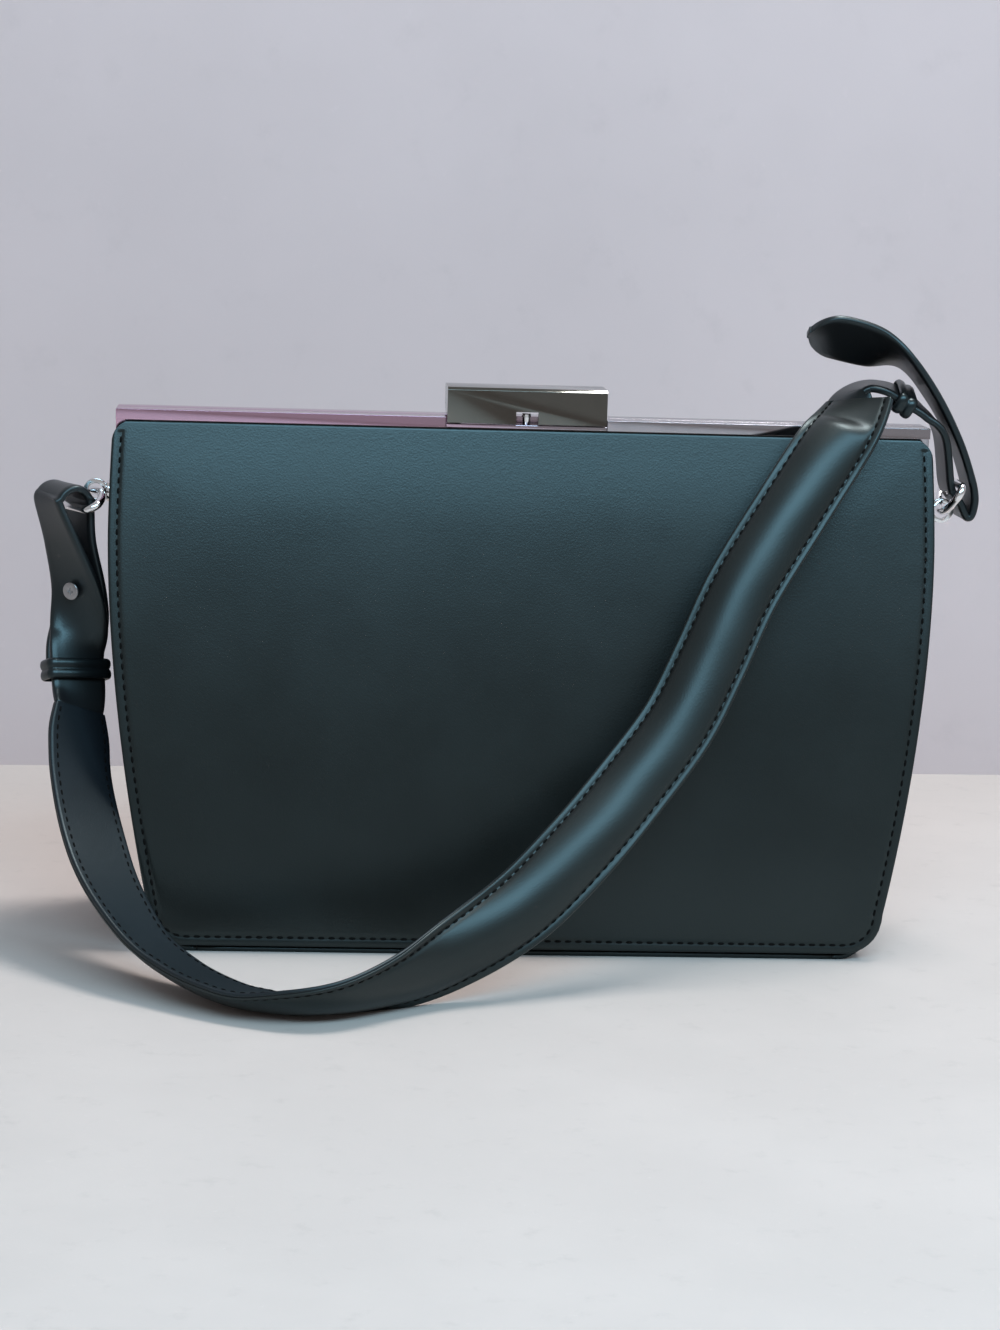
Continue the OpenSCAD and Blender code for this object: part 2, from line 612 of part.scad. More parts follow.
// Left end: tail behind, up to the ring, over it, down the visible leg and into the padded band
left_bar = [-eye_x, 0, hinge_z] + ring_reach * [-cos(left_ring_drop) * cos(left_ring_yaw),
    -cos(left_ring_drop) * sin(left_ring_yaw), -sin(left_ring_drop)];
left_out = [-cos(left_ring_yaw), -sin(left_ring_yaw), 0];
left_across = [-sin(left_ring_yaw), cos(left_ring_yaw), 0];
left_fold_mid = left_fold_r + strap_end_t / 2;
left_fold_centre = left_bar + left_out * (left_fold_r - ring_wire_r - 2 * run_gap) + [0, 0, ring_wire_r * 0.9];
left_fold = [for (i = [0:fold_steps]) let (a = mix(180, 0, i / fold_steps))
    left_fold_centre + left_fold_mid * (left_out * cos(a) + [0, 0, sin(a)])];
pad_run = tangent(pad_c, 0);
left_join = pad_start - pad_run * 3 * butt_gap + face_dir(pad_c, pad_w, 0) * (strap_end_t / 2 - backing_t);
// Places down the visible leg, as shares like the padded band's, and the last one in line with the band
left_leg_shares = [[-1.113, -0.228, 0.761], [-1.079, -0.221, 0.67], [-1.070, -0.235, 0.597], [-1.074, -0.275, 0.547]];
left_leg = concat(placed(left_leg_shares, body_scale), [left_join - pad_run * strap_end_w * 0.38]);
left_leg_w_shares = [[-0.64, 0.77, 0], [-0.87, 0.5, 0], [-1, -0.05, 0], [-0.883, -0.469, 0], [-0.84, -0.545, 0]];
// The tail runs beside the leg on its inner side
tail_gap = strap_end_t + 2 * layer_gap;
tail_side_shares = [[0.77, 0.64, 0], [0.5, 0.87, 0], [-0.05, 1, 0], [-0.47, 0.88, 0], [-0.545, 0.84, 0]];
tail_reach_shares = [2, 1, 1, 1, 1];
left_tail = [for (i = [0:len(left_leg) - 1]) left_leg[i] + tail_side_shares[i] * tail_gap * tail_reach_shares[i]];
left_c = smooth(concat(turned(left_tail), left_fold, left_leg, [left_join]), end_steps);
left_w = smooth(concat(turned(left_leg_w_shares), [for (i = [0:fold_steps]) left_across], left_leg_w_shares,
    [pad_start_w]), end_steps);
module strap_left_end() {
    color([0.1, 0.13, 0.14]) band(left_c, left_w, end_section(), tip_scale(len(left_c)));
}

// Right end: from under the padded band up over an arch, down to the ring, round it and up as a loose tail
right_bar = [eye_x, 0, hinge_z] + ring_reach * [cos(right_ring_lift), 0, sin(right_ring_lift)];
right_eye = [eye_x, 0, hinge_z];
// Places round the ring's bar, from the arch's foot to the loose tail: shares of the ring's reach from the lug's eye
right_fold_shares = [[0.12, 0, 0.91], [0.28, 0, 0.575], [0.46, 0, 0.31], [0.59, 0, 0.04], [0.70, 0, -0.12],
    [0.82, 0, -0.08], [0.90, 0, 0.17], [0.915, 0, 0.56]];
right_fold = [for (q = right_fold_shares) right_eye + q * ring_reach];
pad_end = pad_c[len(pad_c) - 1];
under_at = len(pad_c) - 1 - pad_steps;
pad_under = pad_c[under_at] - face_dir(pad_c, pad_w, under_at) * (backing_t + strap_end_t / 2 + 5 * butt_gap);
// Places of the arch from the pad's underside to the fold: shares of the strap's width from the pad's end
arch_shares = [[-0.13, 0.22, -0.185], [-0.05, 0.50, 0.03], [0.18, 0.55, 0.16], [0.42, 0.51, 0.155],
    [0.69, 0.51, 0.035], [0.98, 0.50, -0.165], [1.235, 0.49, -0.445]];
arch = [for (q = arch_shares) pad_end + q * strap_w];
arch_w_shares = [[-0.66, 0.72, 0.14], [-0.24, 0.96, 0], [-0.08, 0.99, 0], [-0.02, 0.99, 0.1], [0, 0.97, 0.22],
    [0, 0.98, 0.16], [0, 1, 0.04]];
// Places up the loose tail: shares of the strap's width from the fold's outer side
tail_shares = [[-0.06, 0, 0.25], [-0.25, 0, 0.74], [-0.56, 0, 1.28], [-0.95, -0.02, 1.75], [-1.43, -0.06, 1.96],
    [-1.88, -0.10, 2.08], [-2.34, -0.12, 2.15]];
tail_w_shares = [[0, 1, 0], [0, 1, 0], [-0.03, 0.99, -0.04], [-0.1, 0.97, -0.12], [-0.28, 0.69, -0.61],
    [-0.28, 0.62, -0.70], [-0.25, 0.75, -0.60]];
loose_tail = [for (q = tail_shares) right_fold[len(right_fold) - 1] + q * strap_w];
right_c = smooth(concat([pad_under], arch, right_fold, loose_tail), end_steps);
right_w = smooth(concat([pad_w[under_at]], arch_w_shares, [for (q = right_fold_shares) [0, 1, 0]],
    tail_w_shares), end_steps);
module strap_right_end() {
    color([0.11, 0.15, 0.16]) band(right_c, right_w, end_section(), turned(tip_scale(len(right_c))));
}

// Keepers: a flat tube round the strap; at is [centre, run, width direction]
module keeper(centre, run, wide, layers) {
    t = unit(run);
    x = unit(wide - (wide * t) * t);
    y = cross(t, x);
    in_w = strap_end_w + 2 * keeper_gap;
    in_h = layers * strap_end_t + 2 * keeper_gap;
    multmatrix([[x[0], y[0], t[0], centre[0]], [x[1], y[1], t[1], centre[1]], [x[2], y[2], t[2], centre[2]],
        [0, 0, 0, 1]])
        difference() {
            translate([-in_w / 2 - keeper_t, -in_h / 2 - keeper_t, -keeper_len / 2])
                cube([in_w + 2 * keeper_t, in_h + 2 * keeper_t, keeper_len]);
            translate([-in_w / 2, -in_h / 2, -keeper_len / 2 - over]) cube([in_w, in_h, keeper_len + 2 * over]);
        }
}

left_keeper_at = (left_leg[3] + left_tail[3] + left_leg[4] + left_tail[4]) / 4;
left_keeper_run = left_leg[3] - left_leg[4];
left_keeper_wide = left_leg_w_shares[3] + left_leg_w_shares[4];
module left_keeper() { color([0.06, 0.08, 0.09]) keeper(left_keeper_at, left_keeper_run, left_keeper_wide, 2); }

right_keeper_run = arch[5] - arch[3];
right_keeper_at = arch[4] - [0, 0, strap_end_t * 0.2];
module right_keeper() { color([0.06, 0.08, 0.09]) keeper(right_keeper_at, right_keeper_run, arch_w_shares[4], 1.25); }

// Screw through the left leg and its tail
screw_out = unit(cross(left_leg[2] - left_leg[0], left_leg_w_shares[1]));
screw_face = screw_out * (screw_out[1] < 0 ? 1 : -1);
module along(origin, dir) {
    a = acos(dir[2]);
    b = atan2(dir[1], dir[0]);
    translate(origin) rotate([0, a, b]) children();
}
screw_at = left_leg[1] + screw_face * (strap_end_t / 2 + 11 * layer_gap);
screw_depth = 2 * strap_end_t + 24 * layer_gap;
module strap_screw() {
    color([0.5, 0.5, 0.48]) along(screw_at, screw_face) difference() {
        cylinder(h = screw_head_t, r = screw_head_r);
        for (turn = [0, 90]) rotate([0, 0, turn])
            translate([-screw_head_r * 0.35, -screw_head_r * 0.08, screw_head_t / 2])
                cube([screw_head_r * 0.7, screw_head_r * 0.16, screw_head_t]);
    }
}
module strap_screw_post() {
    color([0.5, 0.5, 0.48]) along(screw_at - screw_face * (screw_depth + screw_head_t + layer_gap), screw_face)
        cylinder(h = screw_head_t, r = screw_head_r);
}

front_panel();
front_board();
front_lining();
back_panel();
back_panel_top();
back_board();
back_lining();
back_lining_top();
left_gusset();
right_gusset();
base_panel();
left_gusset_lining();
right_gusset_lining();
base_board();
base_lining();
slip_pocket();
front_frame();
catch_plate();
rear_frame();
hinge_pins();
clasp_post();
clasp_bracket();
clasp_pin();
clasp_hood();
clasp_spring();
left_lug();
right_lug();
left_ring();
right_ring();
strap_outer();
strap_filler();
strap_backing();
strap_left_end();
strap_right_end();
left_keeper();
right_keeper();
strap_screw();
strap_screw_post();
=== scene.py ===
"""Looks of a structured leather shoulder bag with a hinged metal frame and a padded strap."""

import math

import bmesh
import bpy
import numpy as np
from mathutils import Matrix, Vector


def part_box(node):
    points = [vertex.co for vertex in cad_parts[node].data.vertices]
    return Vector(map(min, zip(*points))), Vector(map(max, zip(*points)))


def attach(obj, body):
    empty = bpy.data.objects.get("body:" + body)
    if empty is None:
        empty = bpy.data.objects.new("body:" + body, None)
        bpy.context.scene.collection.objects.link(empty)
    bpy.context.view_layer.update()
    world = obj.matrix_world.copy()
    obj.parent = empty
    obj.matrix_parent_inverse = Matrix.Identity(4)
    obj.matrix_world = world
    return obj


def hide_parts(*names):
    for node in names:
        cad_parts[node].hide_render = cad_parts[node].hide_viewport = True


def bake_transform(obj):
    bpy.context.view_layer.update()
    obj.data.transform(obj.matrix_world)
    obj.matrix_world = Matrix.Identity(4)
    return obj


bl_info = {
    "name": "Frame bag",
    "version": (1, 0, 0),
    "blender": (4, 5, 0),
    "location": "View3D > Sidebar > Frame bag",
    "description": "Builds the leather, stitching, metal and setting of a frame bag",
    "category": "Add Mesh",
}

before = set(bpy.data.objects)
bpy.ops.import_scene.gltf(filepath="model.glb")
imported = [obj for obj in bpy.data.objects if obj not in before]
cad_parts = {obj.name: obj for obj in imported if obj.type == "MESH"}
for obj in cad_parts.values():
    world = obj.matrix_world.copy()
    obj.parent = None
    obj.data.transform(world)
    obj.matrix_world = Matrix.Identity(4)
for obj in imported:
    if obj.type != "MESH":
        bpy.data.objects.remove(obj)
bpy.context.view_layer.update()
MM = 0.001

# Shape of the bag, from the solids and the shares that they are made with
HALF_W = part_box("back_panel")[1].x
PANEL_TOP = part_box("front_panel")[1].z
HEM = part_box("front_panel")[0].z
BASE_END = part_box("base_panel")[1].x
BASE_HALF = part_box("base_panel")[1].y + 1.9 * MM
TOP_HALF = 9.5 * MM
HINGE_Z = 161 * MM
EYE_X = 155.53 * MM
EYE_LEFT = np.array([-EYE_X, 0, HINGE_Z])
EYE_RIGHT = np.array([EYE_X, 0, HINGE_Z])
# How far the left ring hangs and turns to the front, and how far the right one stands up
LEFT_RING_DROP = math.radians(27)
LEFT_RING_YAW = math.radians(30)
RIGHT_RING_LIFT = math.radians(65)
TAPER_SHARE = 0.135
TAPER_POWER = 1.7
WIDEST_SHARE = 0.8
TOP_DRAW_SHARE = 0.006
LEAN_POWER = 1.6
HEM_CORNER = 14 * MM
TOP_CORNER = 8 * MM
LEATHER = 1.8 * MM
EDGE = 3.2 * MM
SIDE_TOP = 153.5 * MM
LAYER_GAP = 0.1 * MM
EDGE_SOFT = 0.75 * MM
FULLNESS = 0.25 * MM
BODY_SCALE = np.array([HALF_W, BASE_HALF, PANEL_TOP])


class Look(bpy.types.PropertyGroup):
    """Sizes and colours that a user would change"""

    stitch_pitch: bpy.props.FloatProperty(
        name="Stitch pitch", description="Distance from one stitch to the next",
        default=3.7 * MM, min=1 * MM, max=8 * MM, unit="LENGTH")
    stitch_inset: bpy.props.FloatProperty(
        name="Stitch inset", description="Distance of the stitches from the leather's edge",
        default=3.3 * MM, min=1.5 * MM, max=6 * MM, unit="LENGTH")
    thread: bpy.props.FloatProperty(
        name="Thread", description="Thickness of the thread",
        default=0.72 * MM, min=0.3 * MM, max=1.2 * MM, unit="LENGTH")
    groove: bpy.props.FloatProperty(
        name="Groove", description="Depth of the line that the stitches press into the leather",
        default=0.35 * MM, min=0, max=0.8 * MM, unit="LENGTH")
    leather: bpy.props.FloatVectorProperty(
        name="Leather", description="Colour of the bag's leather", subtype="COLOR",
        size=3, min=0, max=1, default=(0.0062, 0.0066, 0.0061))
    metal: bpy.props.FloatVectorProperty(
        name="Frame metal", description="Colour of the polished frame", subtype="COLOR",
        size=3, min=0, max=1, default=(0.42, 0.40, 0.43))
    pad_height: bpy.props.FloatProperty(
        name="Pad height", description="Height of the strap's padding above its backing",
        default=5.2 * MM, min=3 * MM, max=6 * MM, unit="LENGTH")
    wall: bpy.props.FloatVectorProperty(
        name="Wall", description="Colour of the wall", subtype="COLOR",
        size=3, min=0, max=1, default=(0.63, 0.515, 0.51))
    floor: bpy.props.FloatVectorProperty(
        name="Floor", description="Colour of the floor", subtype="COLOR",
        size=3, min=0, max=1, default=(0.52, 0.46, 0.43))


def look():
    return bpy.context.scene.bag_look


# Meshes

def linked(name, data):
    """A new object in the scene"""
    made = bpy.data.objects.new(name, data)
    bpy.context.scene.collection.objects.link(made)
    return made


def set_smooth(mesh, smooth=True):
    mesh.polygons.foreach_set("use_smooth", [smooth] * len(mesh.polygons))


def mesh_piece(name, points, faces, material, smooth=True):
    mesh = bpy.data.meshes.new(name)
    mesh.from_pydata([tuple(map(float, p)) for p in points], [], faces)
    mesh.validate()
    set_smooth(mesh, smooth)
    mesh.update()
    mesh.materials.append(material)
    return linked(name, mesh)


def store(piece, name, values):
    """Keeps one number for each point of the mesh, for the material to read"""
    layer = piece.data.attributes.new(name, "FLOAT", "POINT")
    layer.data.foreach_set("value", np.asarray(values, np.float32))


def settle(piece):
    """Turns the piece with its modifiers into a plain mesh"""
    graph = bpy.context.evaluated_depsgraph_get()
    graph.update()
    mesh = bpy.data.meshes.new_from_object(piece.evaluated_get(graph), depsgraph=graph)
    old = piece.data
    piece.modifiers.clear()
    piece.data = mesh
    mesh.name = piece.name
    bpy.data.meshes.remove(old)


def grid_faces(rows, columns, closed=False):
    last = columns if closed else columns - 1
    faces = []
    for i in range(rows - 1):
        for j in range(last):
            k = (j + 1) % columns
            a = i * columns
            faces.append((a + j, a + k, a + columns + k, a + columns + j))
    return faces


def ring_faces(rows, columns):
    """Faces of a grid that closes on itself both ways"""
    last = (rows - 1) * columns
    ends = [(last + j, last + (j + 1) % columns, (j + 1) % columns, j) for j in range(columns)]
    return grid_faces(rows, columns, closed=True) + ends


def outward(piece):
    """Makes the faces of a closed mesh point outwards"""
    work = bmesh.new()
    work.from_mesh(piece.data)
    bmesh.ops.remove_doubles(work, verts=work.verts, dist=1e-6)
    bmesh.ops.recalc_face_normals(work, faces=work.faces)
    work.to_mesh(piece.data)
    work.free()
    piece.data.update()
    return piece


def refined(node, width, segments, name, material):
    """A copy of a solid with its edges softened, which stands for the solid"""
    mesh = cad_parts[node].data.copy()
    mesh.name = name
    piece = linked(name, mesh)
    work = bmesh.new()
    work.from_mesh(mesh)
    bmesh.ops.remove_doubles(work, verts=work.verts, dist=2e-6)
    bmesh.ops.dissolve_limit(work, angle_limit=math.radians(1), verts=work.verts, edges=work.edges)
    work.to_mesh(mesh)
    work.free()
    mesh.materials.clear()
    mesh.materials.append(material)
    set_smooth(mesh)
    bevel = piece.modifiers.new("edges", "BEVEL")
    bevel.width = width
    bevel.segments = segments
    bevel.limit_method = "ANGLE"
    bevel.angle_limit = math.radians(32)
    bevel.harden_normals = True
    settle(piece)
    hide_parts(node)
    return piece


def rim_loop(rows, columns):
    """Numbers of the points round the edge of a grid, in order"""
    first = list(range(columns))
    right = [i * columns + columns - 1 for i in range(1, rows)]
    last = [(rows - 1) * columns + j for j in range(columns - 2, -1, -1)]
    left = [i * columns for i in range(rows - 2, 0, -1)]
    return first + right + last + left


def sheet(name, front, back, rows, columns, material, flip=False):
    """Two grids of points joined along their edges into one closed sheet"""
    count = rows * columns
    faces = grid_faces(rows, columns)
    if flip:
        faces = [f[::-1] for f in faces]
    behind = [tuple(v + count for v in f[::-1]) for f in faces]
    loop = rim_loop(rows, columns)
    rim = []
    for a, b in zip(loop, loop[1:] + loop[:1]):
        quad = (a, a + count, b + count, b)
        rim.append(quad[::-1] if flip else quad)
    return mesh_piece(name, np.concatenate([front, back]), faces + behind + rim, material)


def side_x(z):
    """Half width of the panels at a height"""
    share = z / PANEL_TOP / WIDEST_SHARE
    low = HALF_W * (1 - TAPER_SHARE * np.power(np.maximum(1 - np.maximum(share, 0), 0), TAPER_POWER))
    high = HALF_W * (1 - TOP_DRAW_SHARE * np.square((share - 1) / (1 / WIDEST_SHARE - 1)))
    return np.where(share < 1, low, high)


def side_y(z):
    """Distance of the panels from the middle of the bag at a height"""
    return BASE_HALF - (BASE_HALF - TOP_HALF) * np.power(np.maximum(z, 0) / PANEL_TOP, LEAN_POWER)


def slope_of(curve, z):
    """How fast a curve of the outline changes with height"""
    step = 0.1 * MM
    return (curve(z + step) - curve(z - step)) / (2 * step)


def panel_half(z):
    """Half width of the panel's outline at a height, with its rounded corners"""
    foot = HEM + HEM_CORNER
    head = PANEL_TOP - TOP_CORNER
    width = side_x(z)
    bottom = side_x(foot) - HEM_CORNER + np.sqrt(np.maximum(HEM_CORNER ** 2 - np.square(foot - z), 0))
    top = side_x(head) - TOP_CORNER + np.sqrt(np.maximum(TOP_CORNER ** 2 - np.square(z - head), 0))
    return np.where(z < foot, bottom, np.where(z > head, top, width))


def rim_distance(x, z):
    """Distance inwards from the side and bottom edges of a panel"""
    foot = HEM + HEM_CORNER
    centre = side_x(foot) - HEM_CORNER
    plain = np.minimum(side_x(z) - np.abs(x), z - HEM)
    corner = HEM_CORNER - np.hypot(np.abs(x) - centre, foot - z)
    return np.where((np.abs(x) > centre) & (z < foot), corner, plain)


# Distances from an edge at which a panel has a row of points, closest where the leather curves
NEAR = np.array([0, 0.12, 0.35, 0.7, 1.2, 1.9, 2.5, 2.9, 3.3, 3.7, 4.1, 4.7, 5.6, 7, 9, 12]) * MM


def panel(name, side, material):
    """One leather face of the bag with rounded edges and a line pressed by its stitches"""
    s = look()
    rows = np.concatenate([HEM + NEAR, np.linspace(HEM + 15 * MM, PANEL_TOP - 13 * MM, 54),
                           PANEL_TOP - NEAR[::-1]])
    half = panel_half(rows)
    inner = np.linspace(-1, 1, 90)[1:-1]
    points, rims, tops = [], [], []
    for z, w in zip(rows, half):
        x = np.concatenate([-(w - NEAR), (w - NEAR[-1]) * inner, (w - NEAR)[::-1]])
        points.append(np.stack([x, np.full_like(x, z)], 1))
        rims.append(rim_distance(x, z))
        tops.append(np.full_like(x, PANEL_TOP - z))
    flat = np.concatenate(points)
    rim = np.concatenate(rims)
    top = np.concatenate(tops)
    n, m = len(rows), len(points[0])
    x, z = flat[:, 0], flat[:, 1]
    normal = np.stack([np.zeros_like(x), side * np.ones_like(x), -slope_of(side_y, z)], 1)
    normal /= np.linalg.norm(normal, axis=1)[:, None]
    edge = np.minimum(rim, top)
    rounded = np.maximum(EDGE_SOFT - edge, 0)
    drop = EDGE_SOFT - np.sqrt(np.maximum(EDGE_SOFT ** 2 - np.square(rounded), 0))
    pressed = np.exp(-np.square((rim - s.stitch_inset) / EDGE_SOFT))
    drop += s.groove * pressed * (top > 4 * MM)
    # The leather is a little full between its stitched edges
    full = np.clip((edge - 4 * MM) / (30 * MM), 0, 1)
    drop -= FULLNESS * full * full * (3 - 2 * full)
    surface = np.stack([x, side * side_y(z), z], 1)
    front = surface - normal * drop[:, None]
    back = surface - normal * (LEATHER - 0.08 * MM)
    piece = sheet(name, front, back, n, m, material, flip=side > 0)
    store(piece, "rim", np.concatenate([edge, np.zeros(n * m)]))
    return outward(piece)


def panel_path(side, inset, lift):
    """Places and normals of the stitches round a panel's sides and bottom"""
    foot = HEM + HEM_CORNER
    centre = float(side_x(foot)) - HEM_CORNER
    turn = np.radians(np.linspace(0, 90, 16))
    up = np.linspace(foot, PANEL_TOP - 7 * MM, 60)
    right = [(float(side_x(z)) - inset, z) for z in up[::-1]]
    radius = HEM_CORNER - inset
    corner = [(centre + radius * math.cos(a), foot - radius * math.sin(a)) for a in turn[1:]]
    bottom = [(x, HEM + inset) for x in np.linspace(centre, -centre, 60)[1:-1]]
    half = right + corner
    path = half + bottom + [(-x, z) for x, z in half[::-1]]
    places, normals = [], []
    for x, z in path:
        normal = Vector((0, side, -float(slope_of(side_y, z)))).normalized()
        places.append(Vector((x, side * float(side_y(z)), z)) + normal * lift)
        normals.append(normal)
    return places, normals


# Repeats along a path

def thread_shape(name, length, width, material):
    """One stitch: a short rounded bead that dips at both ends"""
    points = []
    rings, around = 7, 8
    for i in range(rings):
        t = -1 + 2 * i / (rings - 1)
        swell = math.sqrt(max(1 - abs(t) ** 3.2, 0.02))
        for j in range(around):
            a = 2 * math.pi * j / around
            points.append((t * length / 2, width / 2 * swell * math.cos(a),
                           width / 2 * swell * math.sin(a) * 0.85 - 0.25 * width * abs(t) ** 3))
    faces = grid_faces(rings, around, closed=True)
    faces.append(tuple(range(around))[::-1])
    faces.append(tuple(range((rings - 1) * around, rings * around)))
    piece = mesh_piece(name, points, faces, material)
    piece.hide_render = True
    return outward(piece)


def stitch_tree(shape, material):
    """Nodes that set one stitch after another along a path, standing on the leather"""
    tree = bpy.data.node_groups.new("Stitches along a path", "GeometryNodeTree")
    tree.interface.new_socket("Path", in_out="INPUT", socket_type="NodeSocketGeometry")
    tree.interface.new_socket("Stitches", in_out="OUTPUT", socket_type="NodeSocketGeometry")
    pitch = tree.interface.new_socket("Pitch", in_out="INPUT", socket_type="NodeSocketFloat")
    pitch.default_value = look().stitch_pitch
    pitch.subtype = "DISTANCE"
    nodes = tree.nodes
    source = nodes.new("NodeGroupInput")
    result = nodes.new("NodeGroupOutput")
    curve = nodes.new("GeometryNodeMeshToCurve")
    resample = nodes.new("GeometryNodeResampleCurve")
    resample.mode = "LENGTH"
    upright = nodes.new("GeometryNodeInputNamedAttribute")
    upright.data_type = "FLOAT_VECTOR"
    upright.inputs["Name"].default_value = "upright"
    tangent = nodes.new("GeometryNodeInputTangent")
    turn = nodes.new("FunctionNodeAxesToRotation")
    turn.primary_axis = "X"
    turn.secondary_axis = "Z"
    stitch = nodes.new("GeometryNodeObjectInfo")
    stitch.inputs["Object"].default_value = shape
    stitch.inputs["As Instance"].default_value = False
    each = nodes.new("GeometryNodeInstanceOnPoints")
    realize = nodes.new("GeometryNodeRealizeInstances")
    finish = nodes.new("GeometryNodeSetMaterial")
    finish.inputs["Material"].default_value = material
    for start, out, end, into in (
            (source, "Path", curve, "Mesh"), (curve, "Curve", resample, "Curve"),
            (source, "Pitch", resample, "Length"), (resample, "Curve", each, "Points"),
            (tangent, "Tangent", turn, "Primary Axis"), (upright, "Attribute", turn, "Secondary Axis"),
            (turn, "Rotation", each, "Rotation"), (stitch, "Geometry", each, "Instance"),
            (each, "Instances", realize, "Geometry"), (realize, "Geometry", finish, "Geometry"),
            (finish, "Geometry", result, "Stitches")):
        tree.links.new(start.outputs[out], end.inputs[into])
    return tree, pitch.identifier


STITCH_LENGTH = 2.5 * MM


def stitches(name, paths):
    """Rows of stitches; paths holds (places, upright directions) for each row"""
    s = look()
    thread = finish_of("thread")
    shape = thread_shape(name + "_one", STITCH_LENGTH, s.thread, thread)
    points, uprights, edges = [], [], []
    for places, normals in paths:
        first = len(points)
        points += [tuple(p) for p in places]
        uprights += [tuple(n) for n in normals]
        edges += [(first + i, first + i + 1) for i in range(len(places) - 1)]
    mesh = bpy.data.meshes.new(name)
    mesh.from_pydata(points, edges, [])
    layer = mesh.attributes.new("upright", "FLOAT_VECTOR", "POINT")
    layer.data.foreach_set("vector", np.array(uprights, np.float32).ravel())
    piece = linked(name, mesh)
    tree, pitch = stitch_tree(shape, thread)
    modifier = piece.modifiers.new("stitches", "NODES")
    modifier.node_group = tree
    modifier[pitch] = s.stitch_pitch
    settle(piece)
    set_smooth(piece.data)
    bpy.data.objects.remove(shape)
    return piece


# Bands that follow a route

def spline(p, steps):
    """A smooth curve through all the places, with some steps from each to the next"""
    p = np.asarray(p, float)
    n = len(p) - 1
    out = []
    for i in range(n):
        a, b, c, d = p[max(i - 1, 0)], p[i], p[i + 1], p[min(i + 2, n)]
        for j in range(steps):
            t = j / steps
            out.append(0.5 * (2 * b + (c - a) * t + (2 * a - 5 * b + 4 * c - d) * t * t
                              + (3 * b - a - 3 * c + d) * t ** 3))
    out.append(p[-1])
    return np.array(out)


def axes_of(c, w):
    """Run, width and face directions along a route"""
    t = np.empty_like(c)
    t[1:-1] = c[2:] - c[:-2]
    t[0] = c[1] - c[0]
    t[-1] = c[-1] - c[-2]
    t /= np.linalg.norm(t, axis=1)[:, None]
    x = w - np.sum(w * t, 1)[:, None] * t
    x /= np.linalg.norm(x, axis=1)[:, None]
    return t, x, np.cross(t, x)


def distance_along(c):
    """Length of a route from its start to each of its places"""
    return np.concatenate([[0], np.cumsum(np.linalg.norm(np.diff(c, axis=0), axis=1))])


def band(name, c, w, section, material, scale, cap):
    """Sweeps closed sections along a route and rounds its ends off

    section(i) gives points across and up, and scale their share of the width at each place.
    """
    t, x, y = axes_of(c, w)
    rings = []
    for i in range(len(c)):
        q = np.asarray(section(i))
        rings.append(c[i] + np.outer(q[:, 0] * scale[i], x[i]) + np.outer(q[:, 1], y[i]))
    m = len(rings[0])

    def end(ring, out, steps=4):
        centre = ring.mean(0)
        made = []
        for k in range(1, steps + 1):
            a = math.pi / 2 * k / steps
            pull = 1 - (1 - math.cos(a)) * min(0.12, cap / 4 / MM)
            inward = (ring - centre) * pull
            made.append(centre + inward + out * cap * math.sin(a))
        return made

    first = end(rings[0], -t[0])[::-1]
    last = end(rings[-1], t[-1])
    rings = first + rings + last
    faces = grid_faces(len(rings), m, closed=True)
    count = len(rings) * m
    points = np.concatenate(rings)
    middle = np.array([rings[0].mean(0), rings[-1].mean(0)])
    points = np.concatenate([points, middle])
    for j in range(m):
        k = (j + 1) % m
        faces.append((count, k, j))
        faces.append((count + 1, count - m + j, count - m + k))
    return outward(mesh_piece(name, points, faces, material))


# Middle of the padded band: shares of the half width, the half depth and the panels' height
PAD_ROUTE_SHARES = [
    (-1.064, -0.48, 0.445), (-1.054, -0.80, 0.34), (-1.015, -1.21, 0.237), (-0.965, -1.60, 0.162),
    (-0.885, -2.04, 0.094), (-0.80, -2.35, 0.058), (-0.705, -2.64, 0.039), (-0.61, -2.86, 0.035),
    (-0.47, -3.02, 0.043), (-0.32, -2.80, 0.058), (-0.18, -2.50, 0.094), (-0.02, -2.24, 0.168),
    (0.12, -1.99, 0.270), (0.245, -1.71, 0.378), (0.35, -1.50, 0.483), (0.425, -1.33, 0.596),
    (0.505, -1.15, 0.73), (0.62, -0.93, 0.873), (0.705, -0.74, 0.972), (0.76, -0.58, 1.03),
    (0.80, -0.36, 1.073)]
# Direction across the band at each of those places
PAD_WIDTH_SHARES = [
    (-0.70, -0.72, 0.04), (-0.69, -0.71, 0.10), (-0.66, -0.75, 0.02), (-0.50, -0.86, 0.00),
    (-0.33, -0.94, 0.05), (-0.22, -0.97, 0.09), (-0.10, -0.98, 0.13), (0.00, -0.97, 0.20),
    (0.03, -0.86, 0.50), (-0.08, -0.64, 0.77), (-0.33, -0.28, 0.90), (-0.64, 0.02, 0.76),
    (-0.74, 0.19, 0.64), (-0.77, 0.28, 0.57), (-0.81, 0.33, 0.48), (-0.84, 0.31, 0.43),
    (-0.85, 0.28, 0.44), (-0.85, 0.24, 0.47), (-0.90, 0.26, 0.35), (-0.90, 0.42, 0.10),
    (-0.79, 0.60, -0.13)]
STRAP_W = 27 * MM
END_W = 21 * MM
END_T = 3.2 * MM
BACKING = 1.4 * MM
PAD_TOP = 5.2 * MM
PAD_SKIN = 1.2 * MM
MARGIN = 3.4 * MM
RING_REACH = 11.5 * MM
WIRE = 1.5 * MM
FOLD_R = 4.4 * MM


def unit(v):
    v = np.asarray(v, float)
    return v / np.linalg.norm(v)


def pad_route(steps):
    places = np.array(PAD_ROUTE_SHARES) * BODY_SCALE
    places[:, 2] = np.maximum(places[:, 2], PAD_TOP + PAD_SKIN)
    return spline(places, steps), spline(PAD_WIDTH_SHARES, steps)


